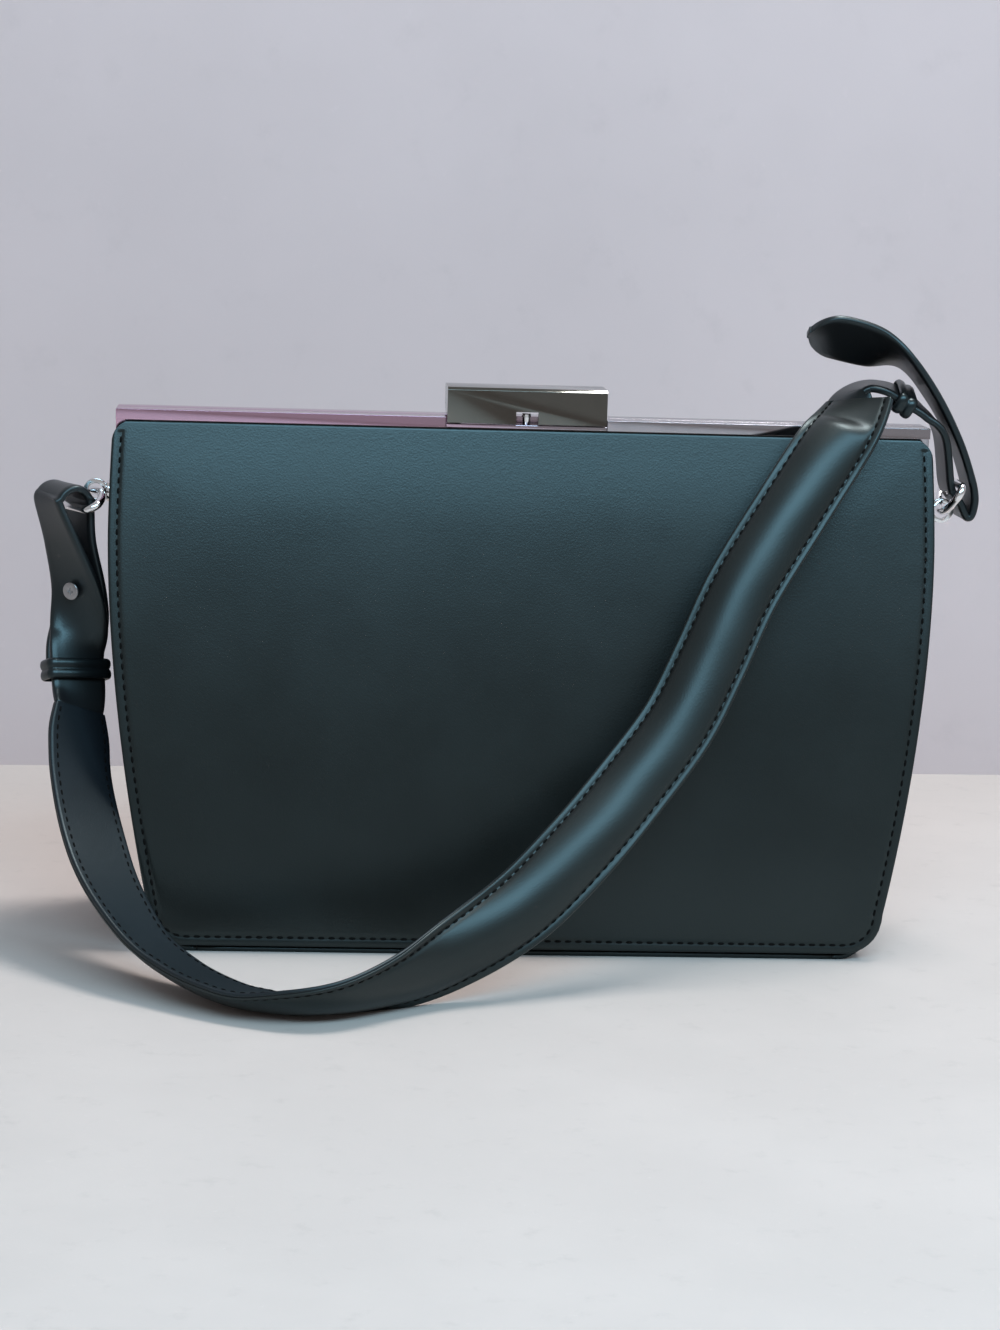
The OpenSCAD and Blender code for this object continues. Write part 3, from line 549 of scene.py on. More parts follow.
def left_route(steps):
    """Tail, fold over the ring, and visible leg of the left strap end"""
    c, w = pad_route(4)
    t, x, y = axes_of(c, w)
    join = c[0] - t[0] * 6 * LAYER_GAP + y[0] * (END_T / 2 - BACKING)
    legs = [np.array(q) * BODY_SCALE for q in [(-1.113, -0.228, 0.761), (-1.079, -0.221, 0.67),
                                               (-1.070, -0.235, 0.597), (-1.074, -0.275, 0.547)]]
    legs.append(join - t[0] * END_W * 0.38)
    leg_w = [(-0.64, 0.77, 0), (-0.87, 0.5, 0), (-1, -0.05, 0), (-0.883, -0.469, 0), (-0.84, -0.545, 0)]
    sides = [(0.77, 0.64, 0), (0.5, 0.87, 0), (-0.05, 1, 0), (-0.47, 0.88, 0), (-0.545, 0.84, 0)]
    tails = [p + np.array(q) * (END_T + 2 * LAYER_GAP) * k for p, q, k in zip(legs, sides, (2, 1, 1, 1, 1))]
    drop, yaw = LEFT_RING_DROP, LEFT_RING_YAW
    up = np.array([0, 0, 1])
    out = np.array([-math.cos(yaw), -math.sin(yaw), 0])
    across = np.array([-math.sin(yaw), math.cos(yaw), 0])
    bar = EYE_LEFT + RING_REACH * (out * math.cos(drop) - up * math.sin(drop))
    middle = bar + out * (FOLD_R - WIRE - 4 * LAYER_GAP) + up * WIRE * 0.9
    fold = [middle + (FOLD_R + END_T / 2) * (out * math.cos(a) + up * math.sin(a))
            for a in np.radians(np.linspace(180, 0, 7))]
    places = tails[::-1] + fold + legs + [join]
    wide = leg_w[::-1] + [across] * 7 + leg_w + [PAD_WIDTH_SHARES[0]]
    return spline(places, steps), spline(wide, steps), legs, tails, leg_w


def right_route(steps):
    """From under the padded band over the arch, round the ring and up the loose tail"""
    c, w = pad_route(4)
    y = axes_of(c, w)[2]
    at = len(c) - 5
    under = c[at] - y[at] * (BACKING + END_T / 2 + 10 * LAYER_GAP)
    end = c[-1]
    arch = [end + np.array(q) * STRAP_W for q in [
        (-0.13, 0.22, -0.185), (-0.05, 0.50, 0.03), (0.18, 0.55, 0.16), (0.42, 0.51, 0.155),
        (0.69, 0.51, 0.035), (0.98, 0.50, -0.165), (1.235, 0.49, -0.445)]]
    arch_w = [(-0.66, 0.72, 0.14), (-0.24, 0.96, 0), (-0.08, 0.99, 0), (-0.02, 0.99, 0.1), (0, 0.97, 0.22),
              (0, 0.98, 0.16), (0, 1, 0.04)]
    fold = [EYE_RIGHT + np.array(q) * RING_REACH for q in [
        (0.12, 0, 0.91), (0.28, 0, 0.575), (0.46, 0, 0.31), (0.59, 0, 0.04), (0.70, 0, -0.12),
        (0.82, 0, -0.08), (0.90, 0, 0.17), (0.915, 0, 0.56)]]
    tail = [fold[-1] + np.array(q) * STRAP_W for q in [
        (-0.06, 0, 0.25), (-0.25, 0, 0.74), (-0.56, 0, 1.28), (-0.95, -0.02, 1.75), (-1.43, -0.06, 1.96),
        (-1.88, -0.10, 2.08), (-2.34, -0.12, 2.15)]]
    tail_w = [(0, 1, 0), (0, 1, 0), (-0.03, 0.99, -0.04), (-0.1, 0.97, -0.12), (-0.28, 0.69, -0.61),
              (-0.28, 0.62, -0.70), (-0.25, 0.75, -0.60)]
    places = [under] + arch + fold + tail
    wide = [w[at]] + arch_w + [(0, 1, 0)] * len(fold) + tail_w
    return spline(places, steps), spline(wide, steps), arch, arch_w


def tip_scale(c, length, from_start):
    """Narrows the last stretch of a strap end into a rounded tip"""
    run = distance_along(c)
    away = run if from_start else run[-1] - run
    share = np.clip(away / length, 0.02, 1)
    return np.sqrt(1 - np.square(1 - share))


# Materials

class Value:
    """A socket of a material, so that shader maths reads as plain expressions"""

    def __init__(self, maker, socket):
        self.maker = maker
        self.socket = socket

    def _maths(self, operation, *values):
        return self.maker.node("ShaderNodeMath", {"operation": operation}, list(values))

    def __add__(self, other):
        return self._maths("ADD", self, other)

    def __sub__(self, other):
        return self._maths("SUBTRACT", self, other)

    def __rsub__(self, other):
        return self._maths("SUBTRACT", other, self)

    def __mul__(self, other):
        return self._maths("MULTIPLY", self, other)

    def between(self, low, high):
        """0 below low, 1 above high, smooth between them"""
        return self.maker.node("ShaderNodeMapRange", {"interpolation_type": "SMOOTHSTEP"},
                               {"Value": self, "From Min": low, "From Max": high})


class Finish:
    """One material under construction"""

    def __init__(self, name):
        self.material = bpy.data.materials.new(name)
        self.material.use_nodes = True
        self.tree = self.material.node_tree
        self.tree.nodes.clear()
        self.output = self.tree.nodes.new("ShaderNodeOutputMaterial")

    def node(self, kind, settings=None, values=None, out=0):
        """Makes a node from its type, its settings and the values or links of its sockets"""
        made = self.tree.nodes.new(kind)
        for key, value in (settings or {}).items():
            setattr(made, key, value)
        items = values.items() if isinstance(values, dict) else enumerate(values or [])
        for key, value in items:
            self.fill(made.inputs[key], value)
        return Value(self, made.outputs[out])

    def fill(self, socket, value):
        """Links a value to a socket, or sets a plain number or colour on it"""
        if isinstance(value, Value):
            self.tree.links.new(value.socket, socket)
        elif isinstance(value, tuple) and len(value) == 3 and len(socket.default_value) == 4:
            socket.default_value = (*value, 1)
        else:
            socket.default_value = value

    def place(self):
        return self.node("ShaderNodeTexCoord", out="Object")

    def stored(self, name):
        return self.node("ShaderNodeAttribute", {"attribute_name": name}, out="Fac")

    def noise(self, scale, detail=2.0, rough=0.5, place=None):
        return self.node("ShaderNodeTexNoise", None, {
            "Vector": place or self.place(), "Scale": scale, "Detail": detail,
            "Roughness": rough}, out="Fac")

    def cells(self, scale):
        return self.node("ShaderNodeTexVoronoi", {"feature": "SMOOTH_F1"}, {
            "Vector": self.place(), "Scale": scale, "Smoothness": 0.6}, out="Distance")

    def mix(self, factor, a, b):
        return self.node("ShaderNodeMix", {"data_type": "RGBA"}, {0: factor, 6: a, 7: b}, out=2)

    def bump(self, height, strength, distance):
        return self.node("ShaderNodeBump", None, {
            "Height": height, "Strength": strength, "Distance": distance})

    def surface(self, **values):
        named = {key.replace("_", " "): value for key, value in values.items()}
        self.finish(self.node("ShaderNodeBsdfPrincipled", None, named))
        return self.material

    def finish(self, shader):
        self.fill(self.output.inputs["Surface"], shader)


def shade_of(colour, share, more=0.0):
    """A lighter or darker shade of a colour"""
    return tuple(min(c * share + more, 1) for c in colour)


def leather_finish(name, colour, rough=0.27, rim=False):
    """Smooth fine leather: soft grain, slight mottling, and with rim a darker painted edge"""
    f = Finish(name)
    mottle = f.noise(28, 3, 0.55)
    cloud = f.noise(7, 2, 0.5)
    fine = f.cells(1500)
    pore = f.noise(2600, 2, 0.6)
    crease = f.noise(260, 3, 0.6)
    base = f.mix(mottle.between(0.3, 0.75), shade_of(colour, 0.72), colour)
    base = f.mix(cloud.between(0.45, 0.8) * 0.5, base, shade_of(colour, 1.4, 0.001))
    if rim:
        edge = f.stored("rim")
        base = f.mix(1 - edge.between(0.2 * MM, 1.0 * MM), base, shade_of(colour, 0.5))
    roughness = mottle * 0.10 + (rough - 0.05) + cloud * 0.06
    height = fine * 0.55 + pore * 0.25 + crease * 0.5
    normal = f.bump(height, 0.45, 0.08 * MM)
    # The teal specular tint is painted light colour: it gives every reflection on the leather the colour of
    # bluish daylight
    return f.surface(Base_Color=base, Roughness=roughness, Normal=normal, Specular_IOR_Level=0.5,
                     Specular_Tint=(0.72, 0.95, 1.0))


def metal_finish(name, colour, rough=0.12, painted_reflection=None):
    """Polished or satin metal with faint hairlines and handling marks, and, where its colour is given, a
    painted pink reflection over the left end
    """
    f = Finish(name)
    marks = f.noise(90, 3, 0.6)
    line = f.noise(1100, 2, 0.5)
    base = f.mix(marks.between(0.35, 0.8), colour, shade_of(colour, 0.9))
    if painted_reflection:
        # Painted reflection: the left end of the metal is tinted pink, as if it mirrored something pink
        along = f.node("ShaderNodeSeparateXYZ", None, [f.place()], out="X")
        base = f.mix(1 - along.between(-60 * MM, 40 * MM), base, painted_reflection)
    roughness = marks * 0.08 + line * 0.05 + (rough - 0.05)
    normal = f.bump(line, 0.05, 0.02 * MM)
    return f.surface(Base_Color=base, Roughness=roughness, Metallic=1.0, Normal=normal)


def thread_finish(name, colour):
    f = Finish(name)
    twist = f.noise(5200, 1, 0.5)
    tone = f.noise(700, 2, 0.5)
    base = f.mix(tone.between(0.3, 0.7), shade_of(colour, 0.6), colour)
    return f.surface(Base_Color=base, Roughness=0.8, Normal=f.bump(twist, 0.5, 0.1 * MM),
                     Specular_IOR_Level=0.12)


def cloth_finish(name, colour):
    """Plain woven lining"""
    f = Finish(name)
    place = f.place()
    warp, weft = (f.node("ShaderNodeTexWave", {"bands_direction": way}, {"Vector": place, "Scale": 320.0})
                  for way in "XZ")
    tone = f.noise(40, 3, 0.6)
    base = f.mix(tone.between(0.3, 0.75), shade_of(colour, 0.75), colour)
    normal = f.bump(warp * 0.5 + weft * 0.5, 0.35, 0.1 * MM)
    return f.surface(Base_Color=base, Roughness=0.85, Normal=normal, Sheen_Weight=0.2)


def board_finish(name, colour):
    f = Finish(name)
    fleck = f.noise(600, 3, 0.7)
    base = f.mix(fleck.between(0.35, 0.7), colour, shade_of(colour, 0.8))
    return f.surface(Base_Color=base, Roughness=0.9, Normal=f.bump(fleck, 0.3, 0.1 * MM))


def stone_finish(name, colour, scale, depth, back_open=False):
    """Mottled plaster or screed for the setting; with back_open it is clear from behind"""
    f = Finish(name)
    place = f.place()
    broad = f.noise(scale, 4, 0.6, place)
    small = f.noise(scale * 9, 5, 0.65, place)
    spots = f.noise(scale * 30, 3, 0.7, place)
    base = f.mix(broad.between(0.35, 0.7), shade_of(colour, 0.95), colour)
    base = f.mix(small.between(0.55, 0.78) * depth, base, shade_of(colour, 0.8))
    base = f.mix(spots.between(0.62, 0.8) * depth, base, shade_of(colour, 1.1))
    normal = f.bump(small + spots * 0.5, 0.12, 0.4 * MM)
    material = f.surface(Base_Color=base, Roughness=0.75, Normal=normal, Specular_IOR_Level=0.3)
    if back_open:
        shader = Value(f, f.output.inputs["Surface"].links[0].from_socket)
        clear = f.node("ShaderNodeBsdfTransparent")
        behind = f.node("ShaderNodeNewGeometry", out="Backfacing")
        f.finish(f.node("ShaderNodeMixShader", None, [behind, shader, clear]))
    return material


def finish_of(name):
    """The named material, made when it is first asked for"""
    full = "bag_" + name
    found = bpy.data.materials.get(full)
    if found:
        return found
    s = look()
    leather = tuple(s.leather)
    metal = tuple(s.metal)
    makers = {
        "leather": lambda: leather_finish(full, leather, rim=True),
        # Painted shade: the side walls and the base get a darker copy of the panel leather
        "gusset": lambda: leather_finish(full, shade_of(leather, 0.85)),
        # Painted light: the padded strap gets a lighter copy of the panel leather, standing in for its
        # sheen
        "strap": lambda: leather_finish(full, shade_of(leather, 1.15), rough=0.36),
        "strap_back": lambda: leather_finish(full, (0.004, 0.005, 0.008), rough=0.42),
        "strap_end": lambda: leather_finish(full, (0.007, 0.007, 0.008), rough=0.33),
        "keeper": lambda: leather_finish(full, (0.005, 0.006, 0.007), rough=0.28),
        # Painted reflection: the frame's left end gets a pink tint
        "frame": lambda: metal_finish(full, metal, painted_reflection=(0.58, 0.38, 0.5)),
        "clasp": lambda: metal_finish(full, (0.17, 0.17, 0.155), rough=0.08),
        "steel": lambda: metal_finish(full, (0.8, 0.8, 0.81)),
        "screw": lambda: metal_finish(full, (0.34, 0.34, 0.35), rough=0.3),
        "thread": lambda: thread_finish(full, (0.002, 0.002, 0.002)),
        "lining": lambda: cloth_finish(full, (0.06, 0.06, 0.065)),
        "board": lambda: board_finish(full, (0.42, 0.37, 0.31)),
        "wall": lambda: stone_finish(full, tuple(s.wall), 5, 0.25, back_open=True),
        "floor": lambda: stone_finish(full, tuple(s.floor), 9, 0.5)}
    return makers[name]()


# Pieces

class BAG_OT_panels(bpy.types.Operator):
    """Front and back leather with pressed stitch lines and painted edges"""

    bl_idname = "bag.panels"
    bl_label = "Panels"

    def execute(self, context):
        front = panel("front_leather", -1, finish_of("leather"))
        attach(front, "bag_body")
        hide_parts("front_panel")
        back = panel("back_leather", 1, finish_of("leather"))
        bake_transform(back)
        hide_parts("back_panel", "back_panel_top")
        return {"FINISHED"}


class BAG_OT_panel_stitches(bpy.types.Operator):
    """Stitches round the sides and the bottom of both panels"""

    bl_idname = "bag.panel_stitches"
    bl_label = "Panel stitches"

    def execute(self, context):
        s = look()
        lift = -s.groove + s.thread * 0.3
        front = stitches("front_stitches", [panel_path(-1, s.stitch_inset, lift)])
        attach(front, "bag_body")
        back = stitches("back_stitches", [panel_path(1, s.stitch_inset, lift)])
        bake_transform(back)
        return {"FINISHED"}


def strip_piece(name, path, material):
    """A leather strip between the panels, along a path of (x, z, outward x, outward z)"""
    columns = 28
    across = np.linspace(-1, 1, columns)
    outer, inner = [], []
    for x, z, nx, nz in path:
        y = across * (float(side_y(z)) - LEATHER - LAYER_GAP)
        outer.append([(x, v, z) for v in y])
        inner.append([(x - nx * LEATHER, v, z - nz * LEATHER) for v in y])
    return outward(sheet(name, np.concatenate(outer), np.concatenate(inner), len(path), columns, material))


def gusset_path(side):
    """From the top of a side wall down round its lower corner to the base"""
    corner = HEM_CORNER - EDGE / 2
    centre = float(side_x(corner)) - EDGE - corner
    path = []
    for z in np.linspace(SIDE_TOP, corner, 40):
        n = Vector((1, -float(slope_of(side_x, z)))).normalized()
        path.append((float(side_x(z)) - EDGE, z, n.x, n.y))
    for a in np.radians(np.linspace(0, 90, 14))[1:]:
        nx, nz = math.cos(a), -math.sin(a)
        path.append((centre + corner * nx, corner + corner * nz, nx, nz))
    path.append((BASE_END + 2 * LAYER_GAP, 0.0, 0.0, -1.0))
    return [(side * x, z, side * nx, nz) for x, z, nx, nz in path]


class BAG_OT_sides(bpy.types.Operator):
    """Side walls with rounded lower corners, and the base between them"""

    bl_idname = "bag.sides"
    bl_label = "Side walls and base"

    def execute(self, context):
        for side, word in ((-1, "left"), (1, "right")):
            wall = strip_piece(word + "_side_wall", gusset_path(side), finish_of("gusset"))
            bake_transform(wall)
            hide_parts(word + "_gusset")
        path = [(x, 0.0, 0.0, -1.0) for x in np.linspace(BASE_END, -BASE_END, 30)]
        base = strip_piece("base_leather", path, finish_of("gusset"))
        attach(base, "bag_body")
        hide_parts("base_panel")
        return {"FINISHED"}


class BAG_OT_inside(bpy.types.Operator):
    """Lining, boards and the inner pocket"""

    bl_idname = "bag.inside"
    bl_label = "Inside"

    def execute(self, context):
        linings = ("front_lining", "back_lining", "back_lining_top", "left_gusset_lining",
                   "right_gusset_lining", "base_lining", "slip_pocket")
        for finish, nodes in (("lining", linings), ("board", ("front_board", "back_board", "base_board"))):
            for node in nodes:
                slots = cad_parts[node].data.materials
                slots.clear()
                slots.append(finish_of(finish))
        return {"FINISHED"}


class BAG_OT_frame(bpy.types.Operator):
    """Both halves of the polished frame and their hinge pins"""

    bl_idname = "bag.frame"
    bl_label = "Frame"

    def execute(self, context):
        for node, body in (("front_frame", "bag_body"), ("catch_plate", "bag_body"),
                           ("rear_frame", "rear_frame_body")):
            piece = refined(node, 0.35 * MM, 3, node + "_polished", finish_of("frame"))
            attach(piece, body)
        pins = refined("hinge_pins", 0.2 * MM, 2, "hinge_pins_turned", finish_of("steel"))
        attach(pins, "bag_body")
        return {"FINISHED"}


class BAG_OT_clasp(bpy.types.Operator):
    """Clasp hood with its lip, catch post, pin and spring"""

    bl_idname = "bag.clasp"
    bl_label = "Clasp"

    def execute(self, context):
        hood = refined("clasp_hood", 0.35 * MM, 4, "clasp_hood_polished", finish_of("clasp"))
        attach(hood, "clasp")
        for node, body, name in (("clasp_post", "bag_body", "clasp_post_turned"),
                                 ("clasp_bracket", "rear_frame_body", "clasp_bracket_finished"),
                                 ("clasp_pin", "rear_frame_body", "clasp_pin_turned"),
                                 ("clasp_spring", "clasp", "clasp_spring_finished")):
            piece = refined(node, 0.15 * MM, 2, name, finish_of("steel"))
            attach(piece, body)
        return {"FINISHED"}


def ring_outline():
    """Flat outline of a D ring whose curved side passes the origin"""
    bar_half, corner = 11.6 * MM, 3 * MM
    inner = RING_REACH - corner
    bow = (inner ** 2 + bar_half ** 2 - corner ** 2) / (2 * (inner - corner))
    angle = math.degrees(math.atan2(bar_half, bow - inner))

    def arc(x, y, radius, start, stop, count):
        turn = np.radians(np.linspace(start, stop, count))
        return [(x + radius * math.cos(a), y + radius * math.sin(a)) for a in turn]

    path = arc(bow, 0, bow, 180 + angle, 180 - angle, 40)
    path += arc(inner, bar_half, corner, 180 - angle, 0, 20)[1:]
    path += [(RING_REACH, y) for y in np.linspace(bar_half, -bar_half, 14)[1:-1]]
    path += arc(inner, -bar_half, corner, 0, angle - 180, 20)[:-1]
    return np.array(path)


def ring_piece(name, matrix, material):
    """Round wire along the ring's outline"""
    path = ring_outline()
    n, m = len(path), 20
    points = []
    for i in range(n):
        t = path[(i + 1) % n] - path[i - 1]
        t = t / np.linalg.norm(t)
        for j in range(m):
            a = 2 * math.pi * j / m
            x = path[i][0] + t[1] * WIRE * math.cos(a)
            y = path[i][1] - t[0] * WIRE * math.cos(a)
            points.append(matrix @ Vector((x, y, WIRE * math.sin(a))))
    return outward(mesh_piece(name, points, ring_faces(n, m), material))


class BAG_OT_rings(bpy.types.Operator):
    """Swivelling lugs and wire D rings"""

    bl_idname = "bag.rings"
    bl_label = "Rings and lugs"

    def execute(self, context):
        left = (Matrix.Translation(EYE_LEFT) @ Matrix.Rotation(math.pi + LEFT_RING_YAW, 4, "Z")
                @ Matrix.Rotation(LEFT_RING_DROP, 4, "Y"))
        right = Matrix.Translation(EYE_RIGHT) @ Matrix.Rotation(-RIGHT_RING_LIFT, 4, "Y")
        for word, matrix in (("left", left), ("right", right)):
            ring = ring_piece(word + "_ring_wire", matrix, finish_of("steel"))
            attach(ring, word + "_ring_body")
            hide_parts(word + "_ring")
            lug = refined(word + "_lug", 0.3 * MM, 3, word + "_lug_finished", finish_of("steel"))
            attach(lug, "strap")
        return {"FINISHED"}


# The strap's stitches lie a little nearer its edge than the panels' do, and in a shallower line
STRAP_INSET_SHARE = 0.82
STRAP_GROOVE_SHARE = 0.9
STRAP_EDGE_UP = 1.0 * MM


def pad_section(height):
    """Cross-section of the padded leather: flat stitched margins and a full middle"""
    half = STRAP_W / 2
    rounding = 0.5 * MM
    dome_half = half - MARGIN + 0.6 * MM
    s = look()
    top = []
    for u in np.linspace(-half, half, 61):
        rest = half - abs(u)
        up = STRAP_EDGE_UP
        if rest < rounding:
            up = STRAP_EDGE_UP * (math.sqrt(max(1 - ((rounding - rest) / rounding) ** 2, 0)) * 0.6 + 0.4)
        if abs(u) < dome_half:
            full = math.cos(abs(u) / dome_half * math.pi / 2) ** 0.75
            up = max(up, STRAP_EDGE_UP + (height - STRAP_EDGE_UP) * full)
        pressed = math.exp(-((rest - s.stitch_inset * STRAP_INSET_SHARE) / (0.6 * MM)) ** 2)
        top.append((u, up - s.groove * STRAP_GROOVE_SHARE * pressed))
    under = [(u, LAYER_GAP) for u in np.linspace(-half, half, 21)]
    return top[::-1] + under


class BAG_OT_strap_pad(bpy.types.Operator):
    """Padded part of the shoulder strap with its backing and both rows of stitches"""

    bl_idname = "bag.strap_pad"
    bl_label = "Padded strap"

    def execute(self, context):
        s = look()
        c, w = pad_route(12)
        run = distance_along(c)

        def section(i):
            # The padding rises from its low start, and ends before the band's flat last stretch
            start = min(run[i] / (16 * MM), 1)
            finish = min(max((run[-1] - run[i] - 12 * MM) / (7 * MM), 0), 1)
            low = min(0.42 + 0.58 * math.sin(start * math.pi / 2),
                      0.24 + 0.76 * math.sin(finish * math.pi / 2))
            ripple = 1 + 0.012 * math.sin(run[i] / (11 * MM)) + 0.01 * math.sin(run[i] / (4.3 * MM) + 1)
            return pad_section(s.pad_height * low * ripple)

        # The band is hardly wider than the plain end where it starts
        narrow = 1.06 * END_W / STRAP_W
        flare = np.sin(np.minimum(run / (13 * MM), 1) * math.pi / 2)
        scale = narrow + (1 - narrow) * flare
        pad = band("strap_pad", c, w, section, finish_of("strap"), scale, 0.35 * MM)
        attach(pad, "strap")
        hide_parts("strap_outer", "strap_filler")
        half = STRAP_W / 2
        soft, face = 0.45 * MM, -LAYER_GAP / 2
        across = np.linspace(-half + soft, half - soft, 31)
        outline = ([(u, -BACKING) for u in across] + [(half, -BACKING + soft), (half, face)]
                   + [(u, face) for u in across[::-1]] + [(-half, face), (-half, -BACKING + soft)])
        backing = band("strap_underside", c, w, lambda i: outline, finish_of("strap_back"), scale,
                       0.35 * MM)
        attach(backing, "strap")
        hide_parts("strap_backing")
        x, y = axes_of(c, w)[1:]
        inset = x * (half - s.stitch_inset * STRAP_INSET_SHARE) * scale[:, None]
        above = STRAP_EDGE_UP - s.groove * STRAP_GROOVE_SHARE + s.thread * 0.3
        below = BACKING + s.thread * 0.1
        rows = []
        inner = slice(2, -2)
        for sign in (-1, 1):
            rows.append(((c + inset * sign + y * above)[inner], y[inner]))
            rows.append(((c + inset * sign - y * below)[inner], -y[inner]))
        sewn = stitches("strap_stitches", rows)
        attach(sewn, "strap")
        return {"FINISHED"}


def end_section():
    """Cross-section of a plain strap end with rolled edges"""
    half, t = END_W / 2, END_T / 2
    flat_half = half - 1.8 * MM
    points = []
    for a in np.arange(64) * math.pi / 32:
        ca, sa = math.cos(a), math.sin(a)
        u = half * math.copysign(abs(ca) ** 0.28, ca)
        v = t * math.copysign(abs(sa) ** 0.62, sa)
        hollow = max(0.0, 1 - (abs(u) / flat_half) ** 4)
        points.append((u, v * (1 - 0.16 * hollow)))
    return points


class BAG_OT_strap_ends(bpy.types.Operator):
    """Both plain ends of the strap, with the screw of the left one"""

    bl_idname = "bag.strap_ends"
    bl_label = "Strap ends"

    def execute(self, context):
        shape = end_section()
        for name, node, route, tip, at_start in (
                ("strap_end_screwed", "strap_left_end", left_route, 9 * MM, True),
                ("strap_end_loose", "strap_right_end", right_route, 10 * MM, False)):
            c, w = route(14)[:2]
            scale = tip_scale(c, tip, at_start)
            end = band(name, c, w, lambda i: shape, finish_of("strap_end"), scale, 0.6 * MM)
            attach(end, "strap")
            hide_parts(node)
        for node in ("strap_screw", "strap_screw_post"):
            piece = refined(node, 0.2 * MM, 3, node + "_finished", finish_of("screw"))
            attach(piece, "strap")
        return {"FINISHED"}


def keeper_piece(name, centre, run, wide, layers, material):
    """A leather loop round a strap end, with a rounded rib along each rim"""
    t = unit(run)
    x = unit(np.asarray(wide, float) - np.dot(wide, t) * t)
    y = np.cross(t, x)
    room, corner = 1.4 * MM, 1.6 * MM
    wall, length = 1.5 * MM, 7.5 * MM
    wide_half = (END_W + room) / 2 - corner
    high_half = (layers * END_T + room) / 2 - corner
    around = []
    for cx, cy, a0 in ((1, 1, 0), (-1, 1, 90), (-1, -1, 180), (1, -1, 270)):
        for a in np.radians(np.linspace(a0, a0 + 90, 7)):
            nx, ny = math.cos(a), math.sin(a)
            around.append((cx * wide_half + corner * nx, cy * high_half + corner * ny, nx, ny))
    profile = []
    for k in np.linspace(-1, 1, 17):
        rise = 0.55 + 0.45 * abs(math.sin(k * math.pi)) ** 0.7 if abs(k) < 1 else 0.35
        profile.append((k * length / 2, wall * rise))
    profile.append((length / 2 * 0.96, 0.0))
    profile.append((-length / 2 * 0.96, 0.0))
    points = []
    for px, py, nx, ny in around:
        for along, up in profile:
            points.append(centre + x * (px + nx * up) + y * (py + ny * up) + t * along)
    return outward(mesh_piece(name, points, ring_faces(len(around), len(profile)), material))


class BAG_OT_keepers(bpy.types.Operator):
    """Leather loops that hold the strap ends"""

    bl_idname = "bag.keepers"
    bl_label = "Keepers"

    def execute(self, context):
        legs, tails, leg_w = left_route(4)[2:]
        centre = (legs[3] + tails[3] + legs[4] + tails[4]) / 4
        wide = np.array(leg_w[3]) + np.array(leg_w[4])
        finish = finish_of("keeper")
        left = keeper_piece("left_keeper_loop", centre, legs[3] - legs[4], wide, 2, finish)
        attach(left, "left_keeper_body")
        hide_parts("left_keeper")
        arch, arch_w = right_route(4)[2:]
        centre = arch[4] - np.array([0, 0, END_T * 0.2])
        right = keeper_piece("right_keeper_loop", centre, arch[5] - arch[3], arch_w[4], 1.25, finish)
        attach(right, "right_keeper_body")
        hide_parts("right_keeper")
        return {"FINISHED"}


# Setting

CAMERA_PLACE = (-84.1 * MM, -1118.2 * MM, 289.8 * MM)
CAMERA_YAW = 3.98
CAMERA_PITCH = -9.63
CAMERA_ROLL = 1.8
# Focal length and height of the picture, both in picture points, and the height of the sensor
FOCAL_POINTS = 3070
PICTURE_HIGH = 1330
SENSOR = 36
# Reach of the floor and the wall, and how far behind the bag the wall stands at its two ends
STAGE = 3
WALL_LEFT = 184 * MM
WALL_RIGHT = 399 * MM
# Name, place, target, width and height, watts, colour
LAMPS = (
    ("lamp_above", (0.38, 0.16, 1.5), (0, 0, 0.05), (0.45, 0.4), 19, (1, 0.98, 0.97)),
    ("lamp_front", (0.32, -1.02, 1.04), (0, 0, 0.13), (1.6, 0.5), 22, (0.5, 0.81, 1)))
ROOM_COLOUR = (0.88, 0.87, 0.89, 1)
ROOM_STRENGTH = 0.43


def area_light(name, place, target, size, power, colour):
    data = bpy.data.lights.new(name, "AREA")
    data.shape = "RECTANGLE"
    data.size, data.size_y = size
    data.energy = power
    data.color = colour
    lamp = linked(name, data)
    lamp.location = place
    lamp.rotation_mode = "QUATERNION"
    lamp.rotation_quaternion = (Vector(target) - Vector(place)).to_track_quat("-Z", "Y")


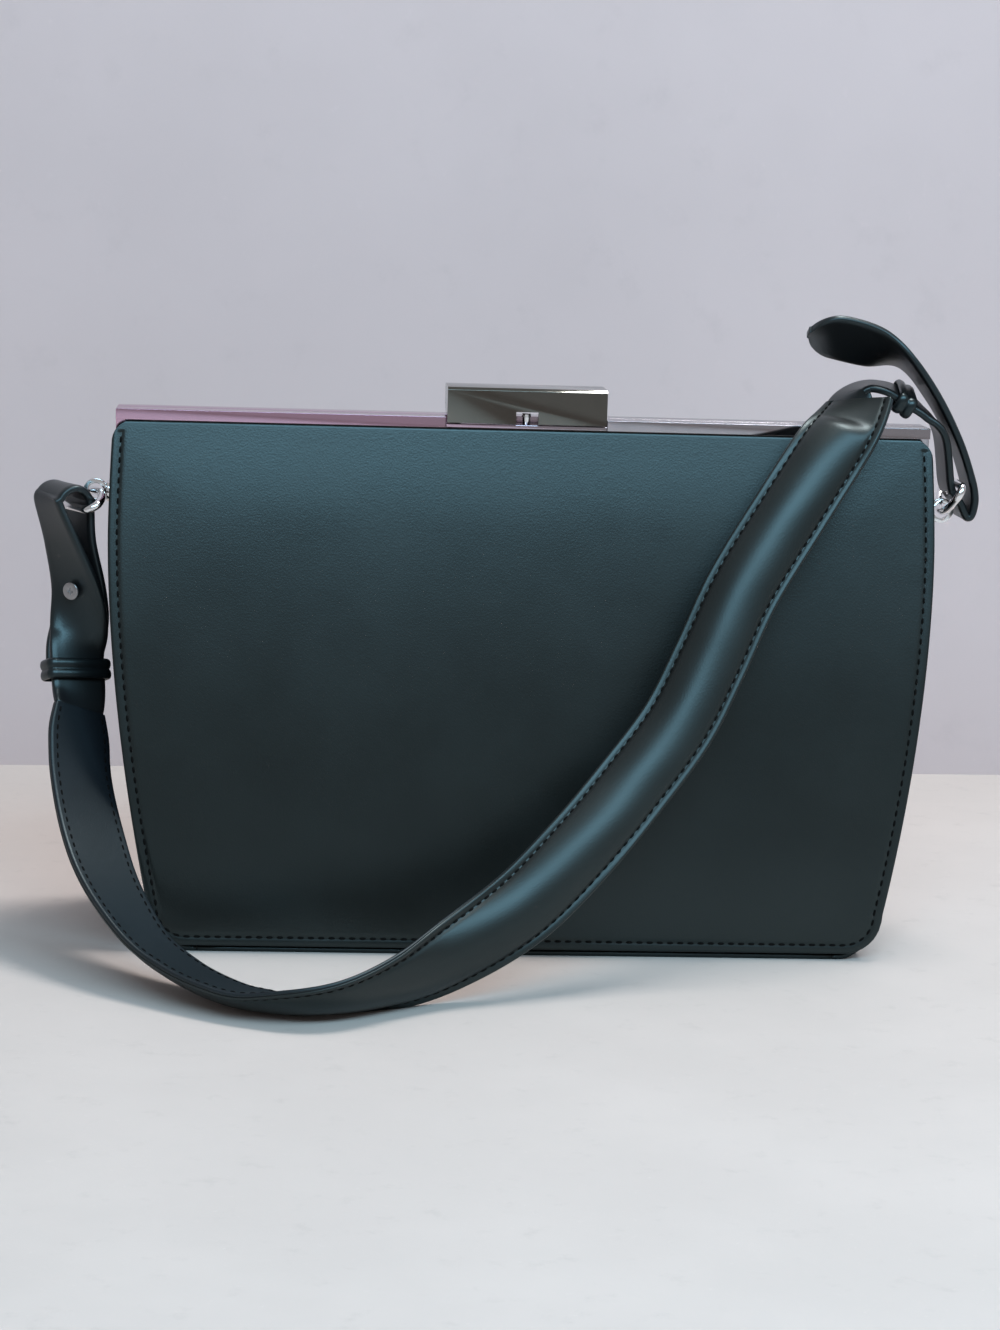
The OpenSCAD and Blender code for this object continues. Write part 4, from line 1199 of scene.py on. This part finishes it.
class BAG_OT_stage(bpy.types.Operator):
    """Floor, wall, lamps and the camera"""

    bl_idname = "bag.stage"
    bl_label = "Setting"

    def execute(self, context):
        scene = context.scene
        left, right = (-STAGE, WALL_LEFT), (STAGE, WALL_RIGHT)
        floor = mesh_piece("floor", [(-STAGE, -STAGE, 0), (STAGE, -STAGE, 0), (*right, 0), (*left, 0)],
                           [(0, 1, 2, 3)], finish_of("floor"), smooth=False)
        wall = mesh_piece("wall", [(*left, 0), (*right, 0), (*right, STAGE), (*left, STAGE)],
                          [(0, 1, 2, 3)], finish_of("wall"), smooth=False)
        yaw, pitch, roll = (math.radians(v) for v in (CAMERA_YAW, CAMERA_PITCH, CAMERA_ROLL))
        ahead = Vector((math.sin(yaw) * math.cos(pitch), math.cos(yaw) * math.cos(pitch), math.sin(pitch)))
        right = Vector((math.cos(yaw), -math.sin(yaw), 0))
        up = right.cross(ahead)
        right, up = (math.cos(roll) * right + math.sin(roll) * up,
                     math.cos(roll) * up - math.sin(roll) * right)
        data = bpy.data.cameras.new("camera")
        data.sensor_width = SENSOR
        data.lens = FOCAL_POINTS / PICTURE_HIGH * SENSOR
        data.clip_start, data.clip_end = 0.05, 20
        camera = linked("camera", data)
        turn = Matrix((right, up, -ahead)).transposed().to_4x4()
        camera.matrix_world = Matrix.Translation(CAMERA_PLACE) @ turn
        scene.camera = camera
        for lamp in LAMPS:
            area_light(*lamp)
        world = bpy.data.worlds.new("soft room")
        scene.world = world
        world.use_nodes = True
        glow = world.node_tree.nodes["Background"]
        glow.inputs["Color"].default_value = ROOM_COLOUR
        glow.inputs["Strength"].default_value = ROOM_STRENGTH
        scene.view_settings.view_transform = "Standard"
        return {"FINISHED"}


class BAG_PT_sidebar(bpy.types.Panel):
    """Lists the sizes, the colours and the pieces"""

    bl_label = "Frame bag"
    bl_space_type = "VIEW_3D"
    bl_region_type = "UI"
    bl_category = "Frame bag"

    def draw(self, context):
        column = self.layout.column()
        for name in Look.__annotations__:
            column.prop(context.scene.bag_look, name)
        for operator in PIECES:
            column.operator(operator.bl_idname)


PIECES = (BAG_OT_stage, BAG_OT_panels, BAG_OT_panel_stitches, BAG_OT_sides, BAG_OT_inside, BAG_OT_frame,
          BAG_OT_clasp, BAG_OT_rings, BAG_OT_strap_pad, BAG_OT_strap_ends, BAG_OT_keepers)


def register():
    for kind in (Look, *PIECES, BAG_PT_sidebar):
        bpy.utils.register_class(kind)
    bpy.types.Scene.bag_look = bpy.props.PointerProperty(type=Look)


def unregister():
    del bpy.types.Scene.bag_look
    for kind in reversed((Look, *PIECES, BAG_PT_sidebar)):
        bpy.utils.unregister_class(kind)


def main():
    register()
    for operator in PIECES:
        group, name = operator.bl_idname.split(".")
        getattr(getattr(bpy.ops, group), name)()


if __name__ == "__main__":
    main()
